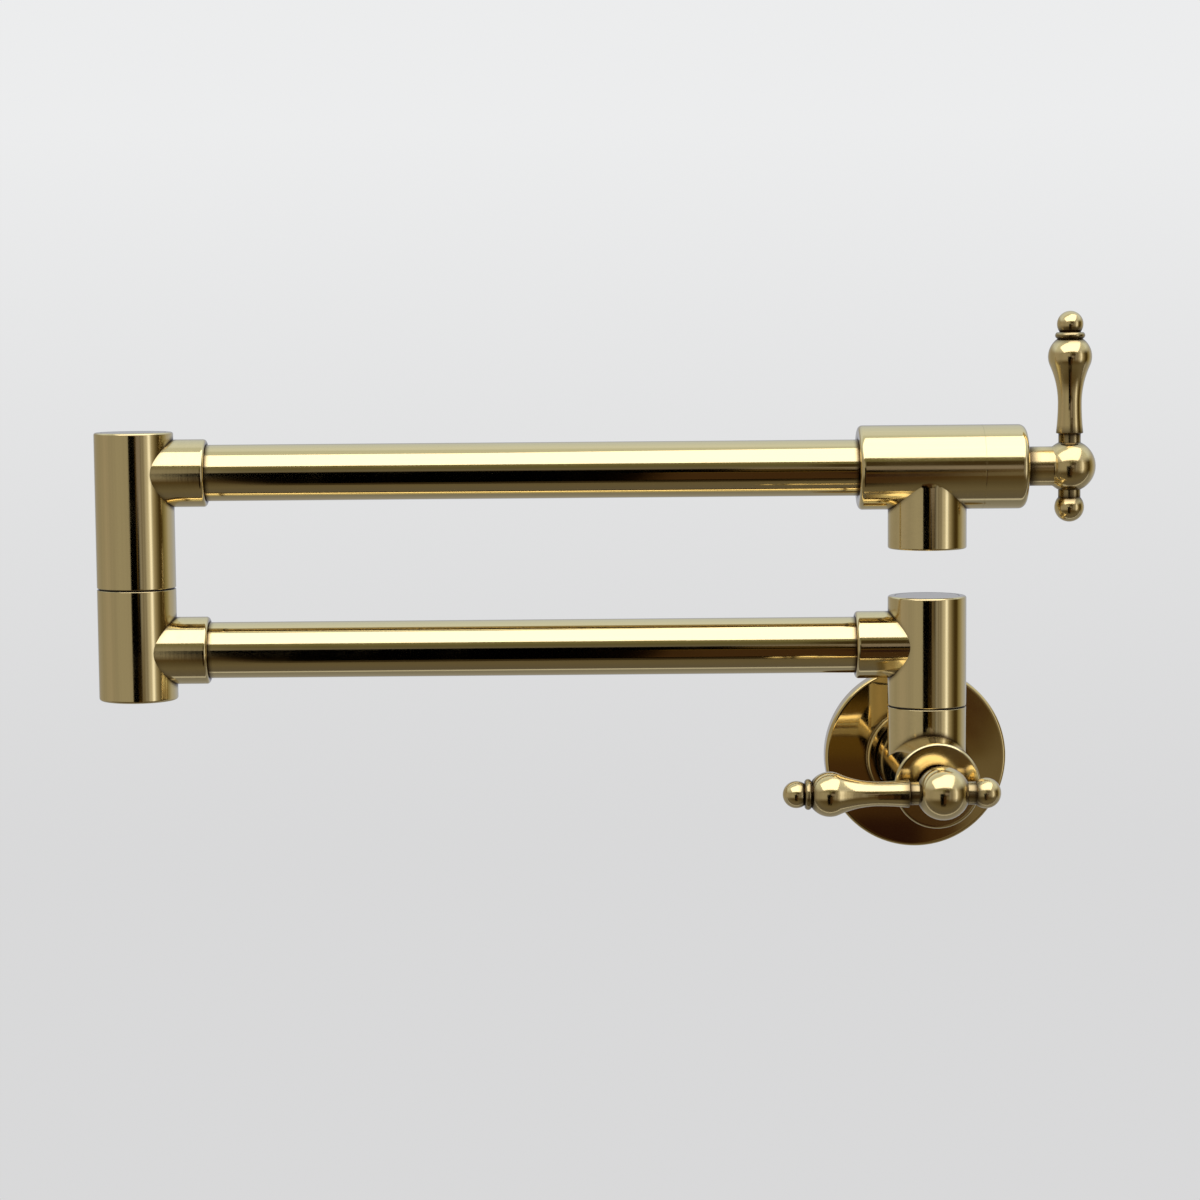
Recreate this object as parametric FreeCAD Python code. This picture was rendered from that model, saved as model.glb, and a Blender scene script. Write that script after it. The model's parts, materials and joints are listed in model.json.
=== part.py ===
import FreeCAD, Part
import math
import os

# Wall mounted pot filler, double jointed, folded flat against the wall.
# Millimetres. Origin: centre of the flange's back on the wall. +Z up, the wall is the plane y = 0,
# the fitting stands out of it towards -Y, and the folded arms lie towards -X.

# ---- driving dimensions: arms and swivels ----
standoff = 45.0            # wall to the riser's axis
armPitch = 282.0           # riser axis to elbow axis
tubeDia = 20.0
tubeWall = 1.2
barrelDia = 28.0           # upright swivel barrels and the outlet
collarWall = 2.0           # collars that hold the tubes
collarReach = 25.8         # barrel axis to collar rim
socketDepth = 12.0         # tube inside its collar
shortSeamToBranch = 22.2   # swivel seam to the tube axis, riser barrel and elbow's lower barrel
shortBranchToEnd = 17.5    # tube axis to the closed end of those barrels
tallSeamToBranch = 41.1    # the same two sizes of the elbow's upper barrel
tallBranchToEnd = 14.7
endBreak = 0.9             # broken edges at the closed ends of barrels and bodies
collarBreak = 1.0          # rims of the collars
rimBreak = 0.7             # tops of the swivel barrels, the outlet's lip and the flange's boss
edgeBreak = 0.3            # fine chamfers at the seams

# ---- driving dimensions: swivel insides ----
journalDia = 18.0
journalClear = 0.05        # radial running clearance of post in barrel
screwClear = 0.03          # radial clearance of screwed and soldered fits
postWall = 3.0
postBase = 12.0            # length screwed into the piece below the seam
seamGap = 0.5              # thrust washer thickness, the dark line at each swivel
washerPlay = 0.03
washerInset = 0.8          # washer's rim inside the outline of the barrels
washerClear = 0.1          # radial, washer on the post
portDia = 7.0              # cross ports in the post
portCount = 4
chamberDepth = 1.5         # water chamber round the cross ports, and the cap's pocket
chamberHeight = 11.0
branchPortDia = 11.0       # chamber to tube
ringGrooveDepth = 1.4
ringWidth = 1.8
ringGrooveWidth = 2.2
sealInset = 5.0            # middle of the lower seal ring below the water chamber
ringSqueezeClear = 0.02    # seal rings stand this far inside the bore they seal
capLand = 1.0              # ledge under the cap
capThickness = 3.0
ringSpace = 2.3            # height of the snap ring's pocket under the cap
snapRingThickness = 1.0
snapRingDepth = 1.0        # how deep its groove is
snapRingStand = 1.3        # how far it stands proud of the journal
snapRingGapAngle = 60.0
snapRingPlay = 0.08
postTopLand = 0.9          # post above the snap ring

# ---- driving dimensions: valve bodies, measured from the port axis along the spindle ----
bodyDia = 30.0
frontReach = 34.9          # port axis to the bonnet's end face
bonnetSeam = 19.3          # port axis to the seam between body and bonnet
spoutBack = 24.8           # port axis to the spout body's tube end
spoutBackRounding = 1.6    # its edge there
spoutFaceRounding = 2.6    # edge of the spout's bonnet, softer than the one at the wall
spoutSocketDepth = 8.0
outletDrop = 28.9          # upper arm's axis to the outlet's lip
outletBoreDia = 16.0
passageDia = 12.0
cavityDia = 19.0           # cartridge bore
cavityBack = 8.0           # port axis back to the cartridge's seat
ledge = 14.0               # port axis to the ledge under the cartridge's flange
bonnetWall = 3.0           # body round the bonnet's thread
branchFloor = 0.8          # metal left between the riser's post and the ring chamber
ringChamberDepth = 1.5     # ring chamber round the cartridge's windows
ringChamberBack = 4.5
ringChamberFront = 7.5
inletThreadRadius = 9.3    # half inch female pipe thread
inletDepth = 15.0

# ---- driving dimensions: cartridge ----
shellClear = 0.05
shellWall = 1.1
shellBack = 7.0            # port axis back to the shell's rear edge
seatWasherThickness = 1.8
seatWasherBoreDia = 11.2
discThickness = 3.0
discClear = 0.05           # radial, fixed disc and seat washer in shell
movingDiscClear = 0.1      # radial, moving disc in shell
discPlay = 0.02            # between the two discs' faces and the moving parts round them
discPortInner = 2.6        # inner radius of the discs' sector ports
discRim = 1.55             # from their outer radius to the shell
discPortAngle = 70.0
windowLow = 0.3            # shell windows along the spindle
windowHigh = 5.7
windowAngle = 60.0
windowCount = 4
footLow = 5.9              # spindle foot along the spindle
footHigh = 7.9
footDia = 12.4
lugClear = 0.15            # radial, lug in shell
lugAngle = 40.0
quarterTurn = 90.0
ribClear = 0.2             # radial, stop rib to the spindle's foot
stopPlay = 1.0             # degrees left at each stop
shellNose = 24.0           # port axis to the shell's front end
shellNoseWall = 2.0
shellFlangeThickness = 2.0
shellFlangeClear = 0.5     # radial, shell's flange in the bonnet's thread
spindleDia = 9.0
spindleClear = 0.06
spindleEndDia = 7.8
spindleStepInside = 2.0    # where the spindle steps down, back from the shell's front end
spindleSeal = 12.0         # port axis to the spindle's seal ring
spindleGrooveDepth = 1.1
tongueWidth = 4.0
tongueLength = 10.4
tongueDepth = 2.0          # how far the tongue reaches into the moving disc

# ---- driving dimensions: handles, lengths measured from the hub ball's centre ----
hubReach = 50.6            # port axis to the ball's centre
hubBallDia = 18.5
stemDia = 14.0
stemClear = 0.15           # radial, stem in bonnet
stemInside = 3.0           # stem inside the bonnet
neckDia = 7.9
seatDepth = 2.05           # spot-faced seats of lever and finial, below the ball's top
studDia = 5.0
hubBoreClear = 0.1         # end of the spindle to the end of its bore in the hub
leverStudGap = 0.3         # end of the lever's stud to the spindle
finialStudGap = 0.02       # the finial's stud bears on the spindle
leverBase = 11.6
leverBaseDia = 9.7
waistRise = 10.7           # base to waist
waistDia = 8.4
bulbRise = 16.5            # waist to the bulb's middle
bulbDia = 15.5
throatDia = 9.2
throatLand = 0.16          # bulb to bead
beadHeight = 2.2
beadDia = 10.6
tipNeckDia = 7.6
tipBallRise = 2.9          # bead to the tip ball's middle
tipBallDia = 9.3
finialBallAt = 14.6
finialBallDia = 10.5

# ---- driving dimensions: flange ----
flangeDia = 67.0
flangeDepth = 8.0
flangeWall = 1.5
flangeRounding = 1.2
bossWidth = 3.0            # boss ring round the body
bossHeight = 3.0
flangeHubDepth = 6.5       # length of the bore that rides on the body
flangeHubWall = 1.8
flangeClear = 0.2          # radial, flange bore on body
flangeRingWidth = 1.8
flangeRingSection = 1.3
flangeGrooveClear = 0.05   # radial, O-ring in its groove
flangeGroovePlay = 0.2     # at each side of the O-ring

# ---- driving dimensions: aerator ----
aeratorDia = 22.0
aeratorHeight = 8.0
aeratorInset = 1.2         # lip of the outlet to the aerator's face
aeratorWall = 1.6
aeratorThroatDia = 15.6
screenThickness = 1.2
screenInset = 0.4          # aerator's face to the screen
screenRim = 0.8            # least rim left round the screen's cells
screenCell = 2.4
screenPitch = 3.2
aeratorWasherThickness = 1.5

# ---- places that follow from them ----
past = 1.0                 # how far a cut runs past the face that it opens
halfTurn = 180.0
nearly = 1e-4              # how close a place or direction has to be to count as the same
X, Y, Z = FreeCAD.Vector(1, 0, 0), FreeCAD.Vector(0, 1, 0), FreeCAD.Vector(0, 0, 1)
collarDia = tubeDia + 2 * collarWall
washerDia = barrelDia - 2 * washerInset
boreR = journalDia / 2 + journalClear
postBoreDia = journalDia - 2 * postWall
chamberDia = journalDia + 2 * chamberDepth
capDia = chamberDia + 2 * capLand
ringChamberDia = cavityDia + 2 * ringChamberDepth
shellInnerDia = cavityDia - 2 * shellClear - 2 * shellWall
discPortOuter = shellInnerDia / 2 - discRim
bonnetThreadDia = bodyDia - 2 * bonnetWall
shellFlangeDia = bonnetThreadDia - 2 * shellFlangeClear
shellNoseDia = spindleDia + 2 * shellNoseWall
neckSeat = hubBallDia / 2 - seatDepth
bossDia = bodyDia + 2 * bossWidth
riserSeam = ringChamberDia / 2 + branchFloor + postBase
lowerArmHeight = riserSeam + shortSeamToBranch
elbowSeam = lowerArmHeight + shortSeamToBranch
upperArmHeight = elbowSeam + tallSeamToBranch
spindleAxis = FreeCAD.Vector(0, -standoff, upperArmHeight)


def at(x, y, z):
    return FreeCAD.Vector(x, y, z)


def cyl(dia, low, high, axis=Z, origin=None):
    """Cylinder of a diameter between two heights along an axis through origin."""
    base = (origin or at(0, 0, 0)) + axis * low
    return Part.makeCylinder(dia / 2, high - low, base, axis)


def ring(outerDia, innerDia, low, high, axis=Z, origin=None):
    return cyl(outerDia, low, high, axis, origin).cut(cyl(innerDia, low, high, axis, origin))


def sector(outerR, innerR, low, high, middle, angle):
    """Ring sector round X; middle is its angle from +Z towards +Y."""
    lowEnd = middle - angle / 2
    inner = at(low, 0, 0)

    def spot(radius, degrees):
        turn = math.radians(degrees)
        return inner + at(0, radius * math.sin(turn), radius * math.cos(turn))

    angles = (lowEnd, middle, lowEnd + angle)
    outerArc = Part.Arc(*[spot(outerR, a) for a in angles]).toShape()
    innerArc = Part.Arc(*[spot(innerR, a) for a in reversed(angles)]).toShape()
    sides = [Part.makeLine(spot(outerR, angles[2]), spot(innerR, angles[2])),
             Part.makeLine(spot(innerR, angles[0]), spot(outerR, angles[0]))]
    wire = Part.Wire([outerArc, sides[0], innerArc, sides[1]])
    return Part.Face(wire).extrude(at(high - low, 0, 0))


def turned(edges, axis=Z):
    """Solid turned from a closed profile given as edges in the plane of X and axis."""
    solid = Part.Face(Part.Wire(edges)).revolve(at(0, 0, 0), axis, 360)
    return solid if solid.Volume > 0 else solid.reversed()


def line(a, b):
    return Part.makeLine(at(a[0], 0, a[1]), at(b[0], 0, b[1]))


def arc(a, middle, b):
    return Part.Arc(at(a[0], 0, a[1]), at(middle[0], 0, middle[1]), at(b[0], 0, b[1])).toShape()


def ballArc(radius, centre, a, b):
    """Arc of a ball on the axis, between two points given as radius and height."""
    middle = (a[1] + b[1]) / 2
    return arc(a, (math.sqrt(radius ** 2 - (middle - centre) ** 2), middle), b)


def hollowRadius(waistR, endR, length):
    """Radius of a hollow curve that leaves the waist upright and has widened to endR after a length."""
    spread = endR - waistR
    return (length ** 2 + spread ** 2) / (2 * spread)


def hollowArc(radius, waistR, waistHeight, endHeight, a, b):
    half = (endHeight - waistHeight) / 2
    middle = (waistR + radius - math.sqrt(radius ** 2 - half ** 2), waistHeight + half)
    return arc(a, middle, b)


def brokenEdges(solid, wanted, size):
    """Chamfer the edges that a test picks."""
    edges = [e for e in solid.Edges if wanted(e)]
    return solid.makeChamfer(size, edges)


def roundedEdges(solid, wanted, radius):
    """Fillet the edges that a test picks."""
    edges = [e for e in solid.Edges if wanted(e)]
    return solid.makeFillet(radius, edges)


def circleAt(edge, axis, height, radius):
    """True for a round edge of a radius, square to axis, at a height along it."""
    curve = edge.Curve
    if not isinstance(curve, Part.Circle):
        return False
    offset = curve.Center.dot(axis) - height
    sameAxis = abs(curve.Axis.dot(axis)) > 1 - nearly
    return abs(offset) < nearly and abs(curve.Radius - radius) < nearly and sameAxis


# ---- swivels ----
def collar(direction):
    """Solid collar round the branch axis, standing at the origin, out to its rim."""
    body = cyl(collarDia, 0, collarReach, direction)
    return brokenEdges(body, lambda e: circleAt(e, direction, collarReach, collarDia / 2), collarBreak)


def tubeSocket(direction):
    """Socket for the tube and the port behind it, cut out of a barrel and its collar."""
    socket = cyl(tubeDia + 2 * screwClear, collarReach - socketDepth, collarReach + past, direction)
    return socket.fuse(cyl(branchPortDia, 0, collarReach, direction))


def swivelBarrel(seamToBranch, branchToEnd, direction):
    """Upper half of a swivel, above its seam at z = 0, open at the top for its cap."""
    end = seamToBranch + branchToEnd
    body = cyl(barrelDia, seamGap, end)
    body = brokenEdges(body, lambda e: circleAt(e, Z, end, barrelDia / 2), rimBreak)
    body = brokenEdges(body, lambda e: circleAt(e, Z, seamGap, barrelDia / 2), edgeBreak)
    branch = collar(direction)
    branch.translate(at(0, 0, seamToBranch))
    body = body.fuse(branch)
    pocketFloor = end - capThickness - ringSpace
    cuts = [cyl(2 * boreR, 0, pocketFloor),
            cyl(chamberDia, seamToBranch - chamberHeight / 2, seamToBranch + chamberHeight / 2),
            cyl(chamberDia, pocketFloor, end),
            cyl(capDia + 2 * screwClear, end - capThickness, end + past)]
    socket = tubeSocket(direction)
    socket.translate(at(0, 0, seamToBranch))
    for cut in cuts + [socket]:
        body = body.cut(cut)
    return body


def fixedBarrel(seamToBranch, branchToEnd, direction):
    """Lower half of the elbow, below its seam at z = 0, closed at the bottom."""
    end = seamToBranch + branchToEnd
    body = cyl(barrelDia, -end, 0)
    body = brokenEdges(body, lambda e: circleAt(e, Z, -end, barrelDia / 2), endBreak)
    body = brokenEdges(body, lambda e: circleAt(e, Z, 0, barrelDia / 2), edgeBreak)
    branch = collar(direction)
    branch.translate(at(0, 0, -seamToBranch))
    socket = tubeSocket(direction)
    socket.translate(at(0, 0, -seamToBranch))
    body = body.fuse(branch).cut(postSocket())
    body = body.cut(cyl(postBoreDia, -seamToBranch - branchPortDia / 2, 0))
    return body.cut(socket)


def postSocket():
    """Tapped hole for a swivel post below a seam at z = 0."""
    return cyl(journalDia + 2 * screwClear, -postBase, past)


def swivelPost(seamToBranch, branchToEnd):
    """Hollow post with cross ports, seal grooves and a snap ring groove; seam at z = 0."""
    ringSeat = seamToBranch + branchToEnd - capThickness - ringSpace + snapRingPlay
    top = ringSeat + snapRingThickness + snapRingPlay + postTopLand
    post = cyl(journalDia, -postBase, top)
    post = post.cut(cyl(postBoreDia, -postBase, seamToBranch + portDia))
    for middle in sealHeights(seamToBranch, branchToEnd):
        post = post.cut(ring(journalDia + past, journalDia - 2 * ringGrooveDepth,
                             middle - ringGrooveWidth / 2, middle + ringGrooveWidth / 2))
    post = post.cut(ring(journalDia + past, journalDia - 2 * snapRingDepth,
                         ringSeat - snapRingPlay / 2, ringSeat + snapRingThickness + snapRingPlay / 2))
    for i in range(portCount):
        turn = math.radians(45 + i * 360 / portCount)
        outward = at(math.cos(turn), math.sin(turn), 0)
        post = post.cut(cyl(portDia, 0, journalDia, outward, at(0, 0, seamToBranch)))
    return post


def sealHeights(seamToBranch, branchToEnd):
    """The two seal rings: one below the water chamber, one midway between it and the cap's pocket."""
    pocketFloor = seamToBranch + branchToEnd - capThickness - ringSpace
    chamberTop = seamToBranch + chamberHeight / 2
    return seamToBranch - chamberHeight / 2 - sealInset, (chamberTop + pocketFloor) / 2


def postSeals(seamToBranch, branchToEnd):
    outer = 2 * (boreR - ringSqueezeClear)
    inner = journalDia - 2 * ringGrooveDepth
    return [ring(outer, inner, middle - ringWidth / 2, middle + ringWidth / 2)
            for middle in sealHeights(seamToBranch, branchToEnd)]


def thrustWasher():
    return ring(washerDia, journalDia + 2 * washerClear, 0, seamGap - washerPlay)


def snapRing(seamToBranch, branchToEnd):
    """Open retaining ring on the post, over the floor of the barrel's pocket."""
    low = seamToBranch + branchToEnd - capThickness - ringSpace + snapRingPlay
    full = ring(journalDia + 2 * snapRingStand, journalDia - 2 * snapRingDepth + 2 * screwClear,
                low, low + snapRingThickness)
    half = math.radians(snapRingGapAngle / 2)
    reach = journalDia
    corners = [at(0, 0, low), at(reach * math.cos(half), -reach * math.sin(half), low),
               at(reach * math.cos(half), reach * math.sin(half), low), at(0, 0, low)]
    gap = Part.Face(Part.makePolygon(corners)).extrude(at(0, 0, snapRingThickness))
    return full.cut(gap)


def barrelCap(seamToBranch, branchToEnd):
    end = seamToBranch + branchToEnd
    return cyl(capDia, end - capThickness, end)


def tube(low, high):
    return ring(tubeDia, tubeDia - 2 * tubeWall, low, high, X)


# ---- valve, spindle along +X, port axis at x = 0, lever towards +Z ----
def valveCavity(back):
    """Everything that the valve's insides take out of a body."""
    cuts = [cyl(passageDia, back, -cavityBack, X),
            cyl(cavityDia, -cavityBack, ledge, X),
            cyl(ringChamberDia, -ringChamberBack, ringChamberFront, X),
            cyl(bonnetThreadDia, ledge, bonnetSeam + past, X)]
    return cuts[0].fuse(cuts[1:])


def seatWasher():
    return ring(shellInnerDia - 2 * discClear, seatWasherBoreDia,
                -cavityBack, -cavityBack + seatWasherThickness, X)


def discLow():
    return -cavityBack + seatWasherThickness


def portedDisc(dia, low, high, firstAngle):
    disc = cyl(dia, low, high, X)
    for turn in (firstAngle, firstAngle + halfTurn):
        disc = disc.cut(sector(discPortOuter, discPortInner, low, high, turn, discPortAngle))
    return disc


def fixedDisc():
    low = discLow()
    return portedDisc(shellInnerDia - 2 * discClear, low, low + discThickness, 0)


def movingDisc():
    low = discLow() + discThickness + discPlay
    high = low + discThickness
    disc = portedDisc(shellInnerDia - 2 * movingDiscClear, low, high, quarterTurn)
    slot = Part.makeBox(tongueDepth + past, tongueWidth, 2 * discPortOuter,
                        at(high - tongueDepth, -tongueWidth / 2, -discPortOuter))
    return disc.cut(slot)


def cartridgeShell():
    inner = shellInnerDia
    shell = cyl(cavityDia - 2 * shellClear, -shellBack, ledge, X)
    shell = shell.fuse(cyl(shellFlangeDia, ledge, ledge + shellFlangeThickness, X))
    shell = shell.fuse(cyl(shellNoseDia, ledge, shellNose, X))
    shell = shell.cut(cyl(inner, -shellBack, footHigh + discPlay, X))
    shell = shell.cut(cyl(spindleDia + 2 * spindleClear, 0, shellNose, X))
    for i in range(windowCount):
        middle = 45 + i * 360 / windowCount
        shell = shell.cut(sector(cavityDia / 2 + past, inner / 2 - past, windowLow, windowHigh,
                                 middle, windowAngle))
    # the rib leaves the foot's lug a quarter turn, from the lug at rest to the open stop
    free = quarterTurn + lugAngle + 2 * stopPlay
    rib = sector(inner / 2 + shellWall / 2, footDia / 2 + ribClear, footLow + discPlay, footHigh + discPlay,
                 lugRest() - quarterTurn / 2 + halfTurn, 2 * halfTurn - free)
    return shell.fuse(rib)


def lugRest():
    """Where the spindle's lug points when the valve is closed, from +Z towards +Y."""
    return quarterTurn / 2


def spindle():
    top = hubReach + spindleEndDia / 2
    shaftEnd = shellNose - spindleStepInside
    rod = cyl(spindleDia, footLow, shaftEnd, X)
    rod = rod.fuse(cyl(spindleEndDia, shaftEnd, top, X))
    rod = rod.fuse(cyl(footDia, footLow, footHigh, X))
    rod = rod.fuse(sector(shellInnerDia / 2 - lugClear, spindleDia / 2 - past, footLow, footHigh,
                          lugRest(), lugAngle))
    rod = rod.cut(ring(spindleDia + past, spindleDia - 2 * spindleGrooveDepth,
                       spindleSeal - ringGrooveWidth / 2, spindleSeal + ringGrooveWidth / 2, X))
    discTop = discLow() + 2 * discThickness + discPlay
    width = tongueWidth - 2 * discClear
    tongue = Part.makeBox(footLow - discTop + tongueDepth - discPlay, width, tongueLength,
                          at(discTop - tongueDepth + discPlay, -width / 2, -tongueLength / 2))
    return rod.fuse(tongue)


def spindleRing():
    outer = spindleDia + 2 * spindleClear - 2 * ringSqueezeClear
    return ring(outer, spindleDia - 2 * spindleGrooveDepth,
                spindleSeal - ringWidth / 2, spindleSeal + ringWidth / 2, X)


def bonnetCap(soften, size):
    """Screwed end of the body; its spigot holds the cartridge down on the ledge."""
    cap = cyl(bodyDia, bonnetSeam, frontReach, X)
    cap = soften(cap, lambda e: circleAt(e, X, frontReach, bodyDia / 2), size)
    spigot = cyl(bonnetThreadDia - 2 * screwClear, ledge + shellFlangeThickness, bonnetSeam, X)
    return cap.fuse(spigot).cut(cyl(stemDia + 2 * stemClear, ledge, frontReach + past, X))


# ---- handle, ball centre at the origin, stem towards -X, lever towards +Z ----
def handleHub():
    ball = Part.makeSphere(hubBallDia / 2)
    stem = cyl(stemDia, frontReach - stemInside - hubReach, 0, X)
    hub = ball.fuse(stem)
    hub = hub.cut(cyl(spindleEndDia + 2 * screwClear, -hubReach, spindleEndDia / 2 + hubBoreClear, X))
    for up in (Z, -Z):
        hub = hub.cut(cyl(neckDia + 2 * screwClear, neckSeat, hubBallDia, up))
        hub = hub.cut(cyl(studDia + 2 * screwClear, 0, hubBallDia, up))
    return hub


def lever():
    stud = spindleEndDia / 2 + leverStudGap
    studR, neckR, baseR = studDia / 2, neckDia / 2, leverBaseDia / 2
    waistR, bulbR, throatR, beadR = waistDia / 2, bulbDia / 2, throatDia / 2, beadDia / 2
    tipR = tipBallDia / 2
    waistAt = leverBase + waistRise
    bulbAt = waistAt + bulbRise
    throatAt = bulbAt + math.sqrt(bulbR ** 2 - throatR ** 2)
    beadLow = throatAt + throatLand
    beadHigh = beadLow + beadHeight
    tipBallAt = beadHigh + tipBallRise
    tipLow = tipBallAt - math.sqrt(tipR ** 2 - (tipNeckDia / 2) ** 2)
    beadMiddle = (beadLow + beadHigh) / 2
    # two hollow curves meet upright at the waist; the upper one runs smoothly into the bulb's ball
    flare = hollowRadius(waistR, baseR, waistRise)
    sweep = hollowRadius(waistR, bulbR, bulbRise) - bulbR
    run = bulbRise * sweep / (sweep + bulbR)
    bulbLow = waistAt + run
    bulbLowR = waistR + sweep - math.sqrt(sweep ** 2 - run ** 2)
    edges = [line((0, stud), (studR, stud)), line((studR, stud), (studR, neckSeat)),
             line((studR, neckSeat), (neckR, neckSeat)), line((neckR, neckSeat), (neckR, leverBase)),
             line((neckR, leverBase), (baseR, leverBase)),
             hollowArc(flare, waistR, waistAt, leverBase, (baseR, leverBase), (waistR, waistAt)),
             hollowArc(sweep, waistR, waistAt, bulbLow, (waistR, waistAt), (bulbLowR, bulbLow)),
             ballArc(bulbR, bulbAt, (bulbLowR, bulbLow), (throatR, throatAt)),
             line((throatR, throatAt), (throatR, beadLow)),
             arc((throatR, beadLow), (beadR, beadMiddle), (throatR, beadHigh)),
             line((throatR, beadHigh), (tipNeckDia / 2, beadHigh)),
             line((tipNeckDia / 2, beadHigh), (tipNeckDia / 2, tipLow)),
             ballArc(tipR, tipBallAt, (tipNeckDia / 2, tipLow), (0, tipBallAt + tipR)),
             line((0, tipBallAt + tipR), (0, stud))]
    return turned(edges)


def finial():
    """Short ball opposite the lever; the end of its stud holds the hub on the spindle."""
    stud = spindleEndDia / 2 + finialStudGap
    studR, neckR, ballR = studDia / 2, neckDia / 2, finialBallDia / 2
    ballLow = finialBallAt - math.sqrt(ballR ** 2 - neckR ** 2)
    edges = [line((0, stud), (studR, stud)), line((studR, stud), (studR, neckSeat)),
             line((studR, neckSeat), (neckR, neckSeat)), line((neckR, neckSeat), (neckR, ballLow)),
             ballArc(ballR, finialBallAt, (neckR, ballLow), (0, finialBallAt + ballR)),
             line((0, finialBallAt + ballR), (0, stud))]
    solid = turned(edges)
    solid.rotate(at(0, 0, 0), X, halfTurn)
    return solid


# ---- bodies ----
def wallValveBody():
    """Body out of the wall, in the valve's frame: spindle along +X, riser branch along +Y."""
    back = -standoff
    body = cyl(bodyDia, back, bonnetSeam, X)
    branch = cyl(barrelDia, 0, riserSeam, Y)
    branch = brokenEdges(branch, lambda e: circleAt(e, Y, riserSeam, barrelDia / 2), edgeBreak)
    body = body.fuse(branch)
    body = body.cut(valveCavity(back))
    body = body.cut(cyl(2 * inletThreadRadius, back, back + inletDepth, X))
    body = body.cut(cyl(postBoreDia, 0, riserSeam, Y))
    return body.cut(cyl(journalDia + 2 * screwClear, riserSeam - postBase, riserSeam + past, Y))


def spoutBody():
    back = -spoutBack
    body = cyl(bodyDia, back, bonnetSeam, X)
    body = roundedEdges(body, lambda e: circleAt(e, X, back, bodyDia / 2), spoutBackRounding)
    outlet = cyl(barrelDia, 0, outletDrop, -Z)
    outlet = brokenEdges(outlet, lambda e: circleAt(e, -Z, outletDrop, barrelDia / 2), rimBreak)
    body = body.fuse(outlet)
    body = body.cut(valveCavity(back + spoutSocketDepth))
    body = body.cut(cyl(tubeDia + 2 * screwClear, back - past, back + spoutSocketDepth, X))
    body = body.cut(cyl(outletBoreDia, bodyDia / 4, outletDrop, -Z))
    seat = outletDrop - aeratorInset - aeratorHeight - aeratorWasherThickness
    return body.cut(cyl(aeratorDia + 2 * screwClear, seat, outletDrop + past, -Z))


# ---- aerator, outlet's lip at z = 0 ----
def aeratorHousing():
    low = aeratorInset
    shell = cyl(aeratorDia, low, low + aeratorHeight, Z)
    shell = shell.cut(cyl(aeratorDia - 2 * aeratorWall, low, low + aeratorHeight - screenThickness, Z))
    return shell.cut(cyl(aeratorThroatDia, low, low + aeratorHeight, Z))


def aeratorScreen():
    dia = aeratorDia - 2 * aeratorWall - 2 * screwClear
    low = aeratorInset + screenInset
    disc = cyl(dia, low, low + screenThickness, Z)
    reach = int(dia / 2 / screenPitch)
    steps = range(-reach, reach + 1)
    for i in steps:
        for j in steps:
            corner = math.hypot(abs(i) * screenPitch + screenCell / 2, abs(j) * screenPitch + screenCell / 2)
            if corner < dia / 2 - screenRim:
                disc = disc.cut(Part.makeBox(screenCell, screenCell, screenThickness,
                                             at(i * screenPitch - screenCell / 2,
                                                j * screenPitch - screenCell / 2, low)))
    return disc


def aeratorWasher():
    low = aeratorInset + aeratorHeight
    return ring(aeratorDia - 2 * ringSqueezeClear, outletBoreDia, low, low + aeratorWasherThickness)


# ---- flange, axis +X in the valve's frame, wall at z = 0 of its profile ----
def wallFlange():
    outerR, boreRadius, bossR = flangeDia / 2, bodyDia / 2 + flangeClear, bossDia / 2
    face, top, bend = flangeDepth, flangeDepth + bossHeight, flangeRounding
    hubBack = top - flangeHubDepth
    inside, skirtR, hubR = face - flangeWall, outerR - flangeWall, boreRadius + flangeHubWall
    diag = bend * (1 - math.sqrt(0.5))
    edges = [line((skirtR, 0), (outerR, 0)), line((outerR, 0), (outerR, face - bend)),
             arc((outerR, face - bend), (outerR - diag, face - diag), (outerR - bend, face)),
             line((outerR - bend, face), (bossR, face)), line((bossR, face), (bossR, top - rimBreak)),
             line((bossR, top - rimBreak), (bossR - rimBreak, top)),
             line((bossR - rimBreak, top), (boreRadius, top)), line((boreRadius, top), (boreRadius, hubBack)),
             line((boreRadius, hubBack), (hubR, hubBack)), line((hubR, hubBack), (hubR, inside)),
             line((hubR, inside), (skirtR, inside)), line((skirtR, inside), (skirtR, 0))]
    flange = turned(edges)
    low = flangeRingLow()
    groove = ring(bodyDia + 2 * (flangeRingSection + flangeGrooveClear), bodyDia,
                  low - flangeGroovePlay, low + flangeRingWidth + flangeGroovePlay)
    return flange.cut(groove)


def flangeRingLow():
    return flangeDepth + bossHeight - flangeHubDepth / 2 - flangeRingWidth / 2


def flangeRing():
    low = flangeRingLow()
    return ring(bodyDia + 2 * flangeRingSection, bodyDia + 2 * ringSqueezeClear, low, low + flangeRingWidth)


# ---- placing ----
def onWall(shape):
    """From the valve's frame (spindle +X, port +Y, lever +Z) to the wall: -Y, +Z, -X."""
    matrix = FreeCAD.Matrix(0, 0, -1, 0,
                            -1, 0, 0, -standoff,
                            0, 1, 0, 0,
                            0, 0, 0, 1)
    return placed(shape, matrix)


def placed(shape, matrix):
    copy = shape.copy()
    copy.Placement = FreeCAD.Placement(matrix).multiply(copy.Placement)
    return copy


def moved(shape, vector):
    copy = shape.copy()
    copy.translate(vector)
    return copy


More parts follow.
